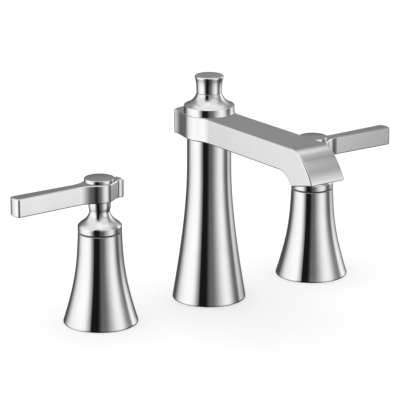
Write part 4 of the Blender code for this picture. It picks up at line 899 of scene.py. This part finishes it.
def make_finial(chrome):
    """The bell on the arm, with its band and the thin foot under it."""
    _, foot_radius, bottom, top = turned_box("finial_base")
    band_radius = foot_radius - FINIAL_BAND_INSET
    band_top = bottom + FINIAL_BAND_TOP
    band_bottom = bottom + FINIAL_BAND_BOTTOM
    swell = band_radius - FINIAL_NECK_RADIUS
    points = [(FINIAL_NECK_RADIUS, top)]
    for level, share in reversed(FINIAL_BELL_SHARES):
        points.append((FINIAL_NECK_RADIUS + swell * share, band_top + (top - band_top) * level))
    points.append((band_radius, band_top))
    bore = GUIDE_RADIUS + FIT_GAP
    corners = [(FINIAL_NECK_RADIUS, top, INNER_ROUND)] + smooth_curve(points)[1:-1]
    corners += [(band_radius, band_top, BAND_ROUND), (band_radius, band_bottom)]
    corners += [(foot_radius, bottom + FINIAL_FOOT_HEIGHT), (foot_radius, bottom), (bore, bottom)]
    corners.append((bore, top))
    name = "finial_bell"
    mesh = turned_mesh(name, rounded(corners))
    return piece(name, mesh, chrome, "root", "finial_base")


def make_knob(chrome):
    """The pull knob, with a socket for its rod."""
    _, lip_radius, bottom, top = turned_box("lift_rod_knob")
    swell = lip_radius - KNOB_WAIST_RADIUS
    rim = top - KNOB_CROWN
    points = [(KNOB_FACE_RADIUS, rim)]
    for level, share in KNOB_PROFILE_SHARES:
        points.append((KNOB_WAIST_RADIUS + swell * share, bottom + (rim - bottom) * level))
    points.append((KNOB_WAIST_RADIUS, bottom))
    hole = ROD_RADIUS + FIT_GAP
    corners = crowned_top(KNOB_FACE_RADIUS, top, KNOB_CROWN)[:-1] + smooth_curve(points)[:-1]
    corners.append((KNOB_WAIST_RADIUS, bottom, INNER_ROUND))
    corners += [(hole, bottom), (hole, bottom + KNOB_SOCKET), (0, bottom + KNOB_SOCKET)]
    name = "pull_knob"
    mesh = turned_mesh(name, rounded(corners))
    return piece(name, mesh, chrome, "lift_rod_assembly", "lift_rod_knob")


# Studio


def make_world():
    """A plain pale surrounding, which lights what isn't chrome."""
    world = bpy.data.worlds.new("studio")
    bpy.context.scene.world = world
    world.use_nodes = True
    background = world.node_tree.nodes["Background"]
    background.inputs["Color"].default_value = (*[grey(WORLD_LEVEL)] * 3, 1)


def make_dome():
    """The studio that the chrome shows: large soft panels, walls, a dark flag and a ceiling."""
    half_turn = arc(0, 0, DOME_RADIUS, math.pi / 2, -math.pi / 2)
    profile = [(0, DOME_RADIUS)] + half_turn[1:-1] + [(0, -DOME_RADIUS)]
    dome = bpy.data.objects.new("light_dome", turned_mesh("light_dome", profile, DOME_STEPS))
    bpy.context.scene.collection.objects.link(dome)
    material = bpy.data.materials.new("light_dome")
    material.use_nodes = True
    tree = material.node_tree
    tree.nodes.clear()
    place = tree.nodes.new("ShaderNodeTexCoord").outputs["Object"]
    direction = tree.nodes.new("ShaderNodeVectorMath")
    direction.operation = "NORMALIZE"
    tree.links.new(place, direction.inputs["Vector"])
    parts = tree.nodes.new("ShaderNodeSeparateXYZ")
    tree.links.new(direction.outputs["Vector"], parts.inputs["Vector"])
    heading = math_node(tree, "ARCTAN2", parts.outputs["Y"], parts.outputs["X"])
    turn = math.pi / 2 - CAMERA_AZIMUTH
    azimuth = math_node(tree, "DEGREES", math_node(tree, "ADD", heading, turn))
    elevation = math_node(tree, "DEGREES", math_node(tree, "ARCSINE", parts.outputs["Z"]))
    value = grey(BASE_LEVEL)
    for level, azimuths, elevations, lean in PANELS.values():
        mask = band(tree, elevation, elevations)
        if azimuths is not ALL_ROUND:
            middle = (azimuths[0] + azimuths[3]) / 2
            leaning = math_node(tree, "MULTIPLY", elevation, -lean)
            across = math_node(tree, "SUBTRACT", math_node(tree, "ADD", azimuth, leaning), middle)
            across = math_node(tree, "WRAP", across, 180, -180)
            beside = band(tree, across, [edge - middle for edge in azimuths])
            mask = math_node(tree, "MULTIPLY", mask, beside)
        value = blend_values(tree, value, grey(level), mask)
    glow = tree.nodes.new("ShaderNodeEmission")
    tree.links.new(value, glow.inputs["Color"])
    glow.inputs["Strength"].default_value = DOME_STRENGTH
    output = tree.nodes.new("ShaderNodeOutputMaterial")
    tree.links.new(glow.outputs["Emission"], output.inputs["Surface"])
    dome.data.materials.append(material)
    dome.visible_camera = False
    dome.visible_diffuse = False
    dome.visible_shadow = False
    dome.visible_transmission = False


def math_node(tree, operation, *values):
    """A Math node, with each value a socket or a number."""
    node = tree.nodes.new("ShaderNodeMath")
    node.operation = operation
    for socket, value in zip(node.inputs, values):
        connect(tree, value, socket)
    return node.outputs["Value"]


def connect(tree, value, socket):
    """Links a socket, or sets a number."""
    if isinstance(value, (int, float)):
        socket.default_value = value
    else:
        tree.links.new(value, socket)


def soft_step(tree, value, start, end):
    """A soft step from 0 at the start to 1 at the end."""
    node = tree.nodes.new("ShaderNodeMapRange")
    node.interpolation_type = "SMOOTHSTEP"
    node.inputs["From Min"].default_value = start
    node.inputs["From Max"].default_value = end
    tree.links.new(value, node.inputs["Value"])
    return node.outputs["Result"]


def band(tree, value, edges):
    """1 between the two inner edges, and 0 outside the two outer ones."""
    rise = soft_step(tree, value, edges[0], edges[1])
    fall = soft_step(tree, value, edges[2], edges[3])
    return math_node(tree, "MULTIPLY", rise, math_node(tree, "SUBTRACT", 1, fall))


def blend_values(tree, under, over, share):
    """One value over another by a share."""
    node = tree.nodes.new("ShaderNodeMix")
    node.data_type = "FLOAT"
    connect(tree, under, node.inputs[2])
    connect(tree, over, node.inputs[3])
    tree.links.new(share, node.inputs[0])
    return node.outputs[0]


def make_floor():
    """A pale floor that curves up into a backdrop all round. Only the camera sees it."""
    profile = [(0, 0), (FLOOR_RADIUS, 0)]
    profile += arc(FLOOR_RADIUS, BACKDROP_BEND, BACKDROP_BEND, -math.pi / 2, 0)[1:]
    profile.append((FLOOR_RADIUS + BACKDROP_BEND, BACKDROP_HEIGHT))
    mesh = bpy.data.meshes.new("studio_floor")
    mesh.from_pydata(
        [(radius, 0.0, height) for radius, height in profile],
        [(index, index + 1) for index in range(len(profile) - 1)], [],
    )
    holder = bpy.data.objects.new("studio_floor", mesh)
    sweep = holder.modifiers.new("Turn", "SCREW")
    sweep.angle = math.tau
    sweep.steps = TURN_STEPS
    sweep.render_steps = TURN_STEPS
    sweep.use_merge_vertices = True
    sweep.merge_threshold = MERGE_DISTANCE
    mesh = settled_mesh(holder)
    mesh.shade_smooth()
    material, tree, shader = new_material("pale_floor", (0.9, 0.9, 0.9), 0.0, 0.9)
    shader.inputs["Emission Color"].default_value = (1, 1, 1, 1)
    shader.inputs["Emission Strength"].default_value = FLOOR_GLOW
    mesh.materials.append(material)
    floor = bpy.data.objects.new("studio_floor", mesh)
    bpy.context.scene.collection.objects.link(floor)
    floor.visible_glossy = False
    floor.visible_diffuse = False
    floor.visible_shadow = False
    floor.visible_transmission = False


def make_light():
    """One large soft light overhead, which the chrome doesn't show."""
    data = bpy.data.lights.new("overhead", "AREA")
    data.shape = "DISK"
    data.size = LIGHT_SIZE
    data.energy = LIGHT_POWER
    light = bpy.data.objects.new("overhead", data)
    bpy.context.scene.collection.objects.link(light)
    light.location = (0, 0, LIGHT_HEIGHT)
    light.visible_glossy = False
    light.visible_camera = False


def make_camera():
    """The camera, level and without shift, as the photograph was taken."""
    data = bpy.data.cameras.new("camera")
    data.lens = CAMERA_LENS
    data.sensor_width = CAMERA_SENSOR
    data.clip_start = CAMERA_NEAR
    data.clip_end = CAMERA_FAR
    camera = bpy.data.objects.new("camera", data)
    bpy.context.scene.collection.objects.link(camera)
    back = Vector((
        math.sin(CAMERA_AZIMUTH) * math.cos(CAMERA_ELEVATION),
        -math.cos(CAMERA_AZIMUTH) * math.cos(CAMERA_ELEVATION),
        math.sin(CAMERA_ELEVATION),
    ))
    camera.rotation_mode = "QUATERNION"
    camera.rotation_quaternion = (-back).to_track_quat("-Z", "Y")
    camera.location = CAMERA_PLACE
    bpy.context.scene.camera = camera


def main():
    make_camera()
    materials = make_materials()
    dress_nodes(materials)
    chrome = materials["chrome"]
    make_column(chrome)
    make_arm(chrome)
    make_aerator(chrome)
    make_finial(chrome)
    make_knob(chrome)
    for side in ("left", "right"):
        make_escutcheon(chrome, side)
        make_hub(chrome, side)
        make_lever(chrome, side)
        make_cap(chrome, side)
    make_world()
    make_dome()
    make_floor()
    make_light()
    bpy.context.scene.view_settings.view_transform = "Standard"


main()
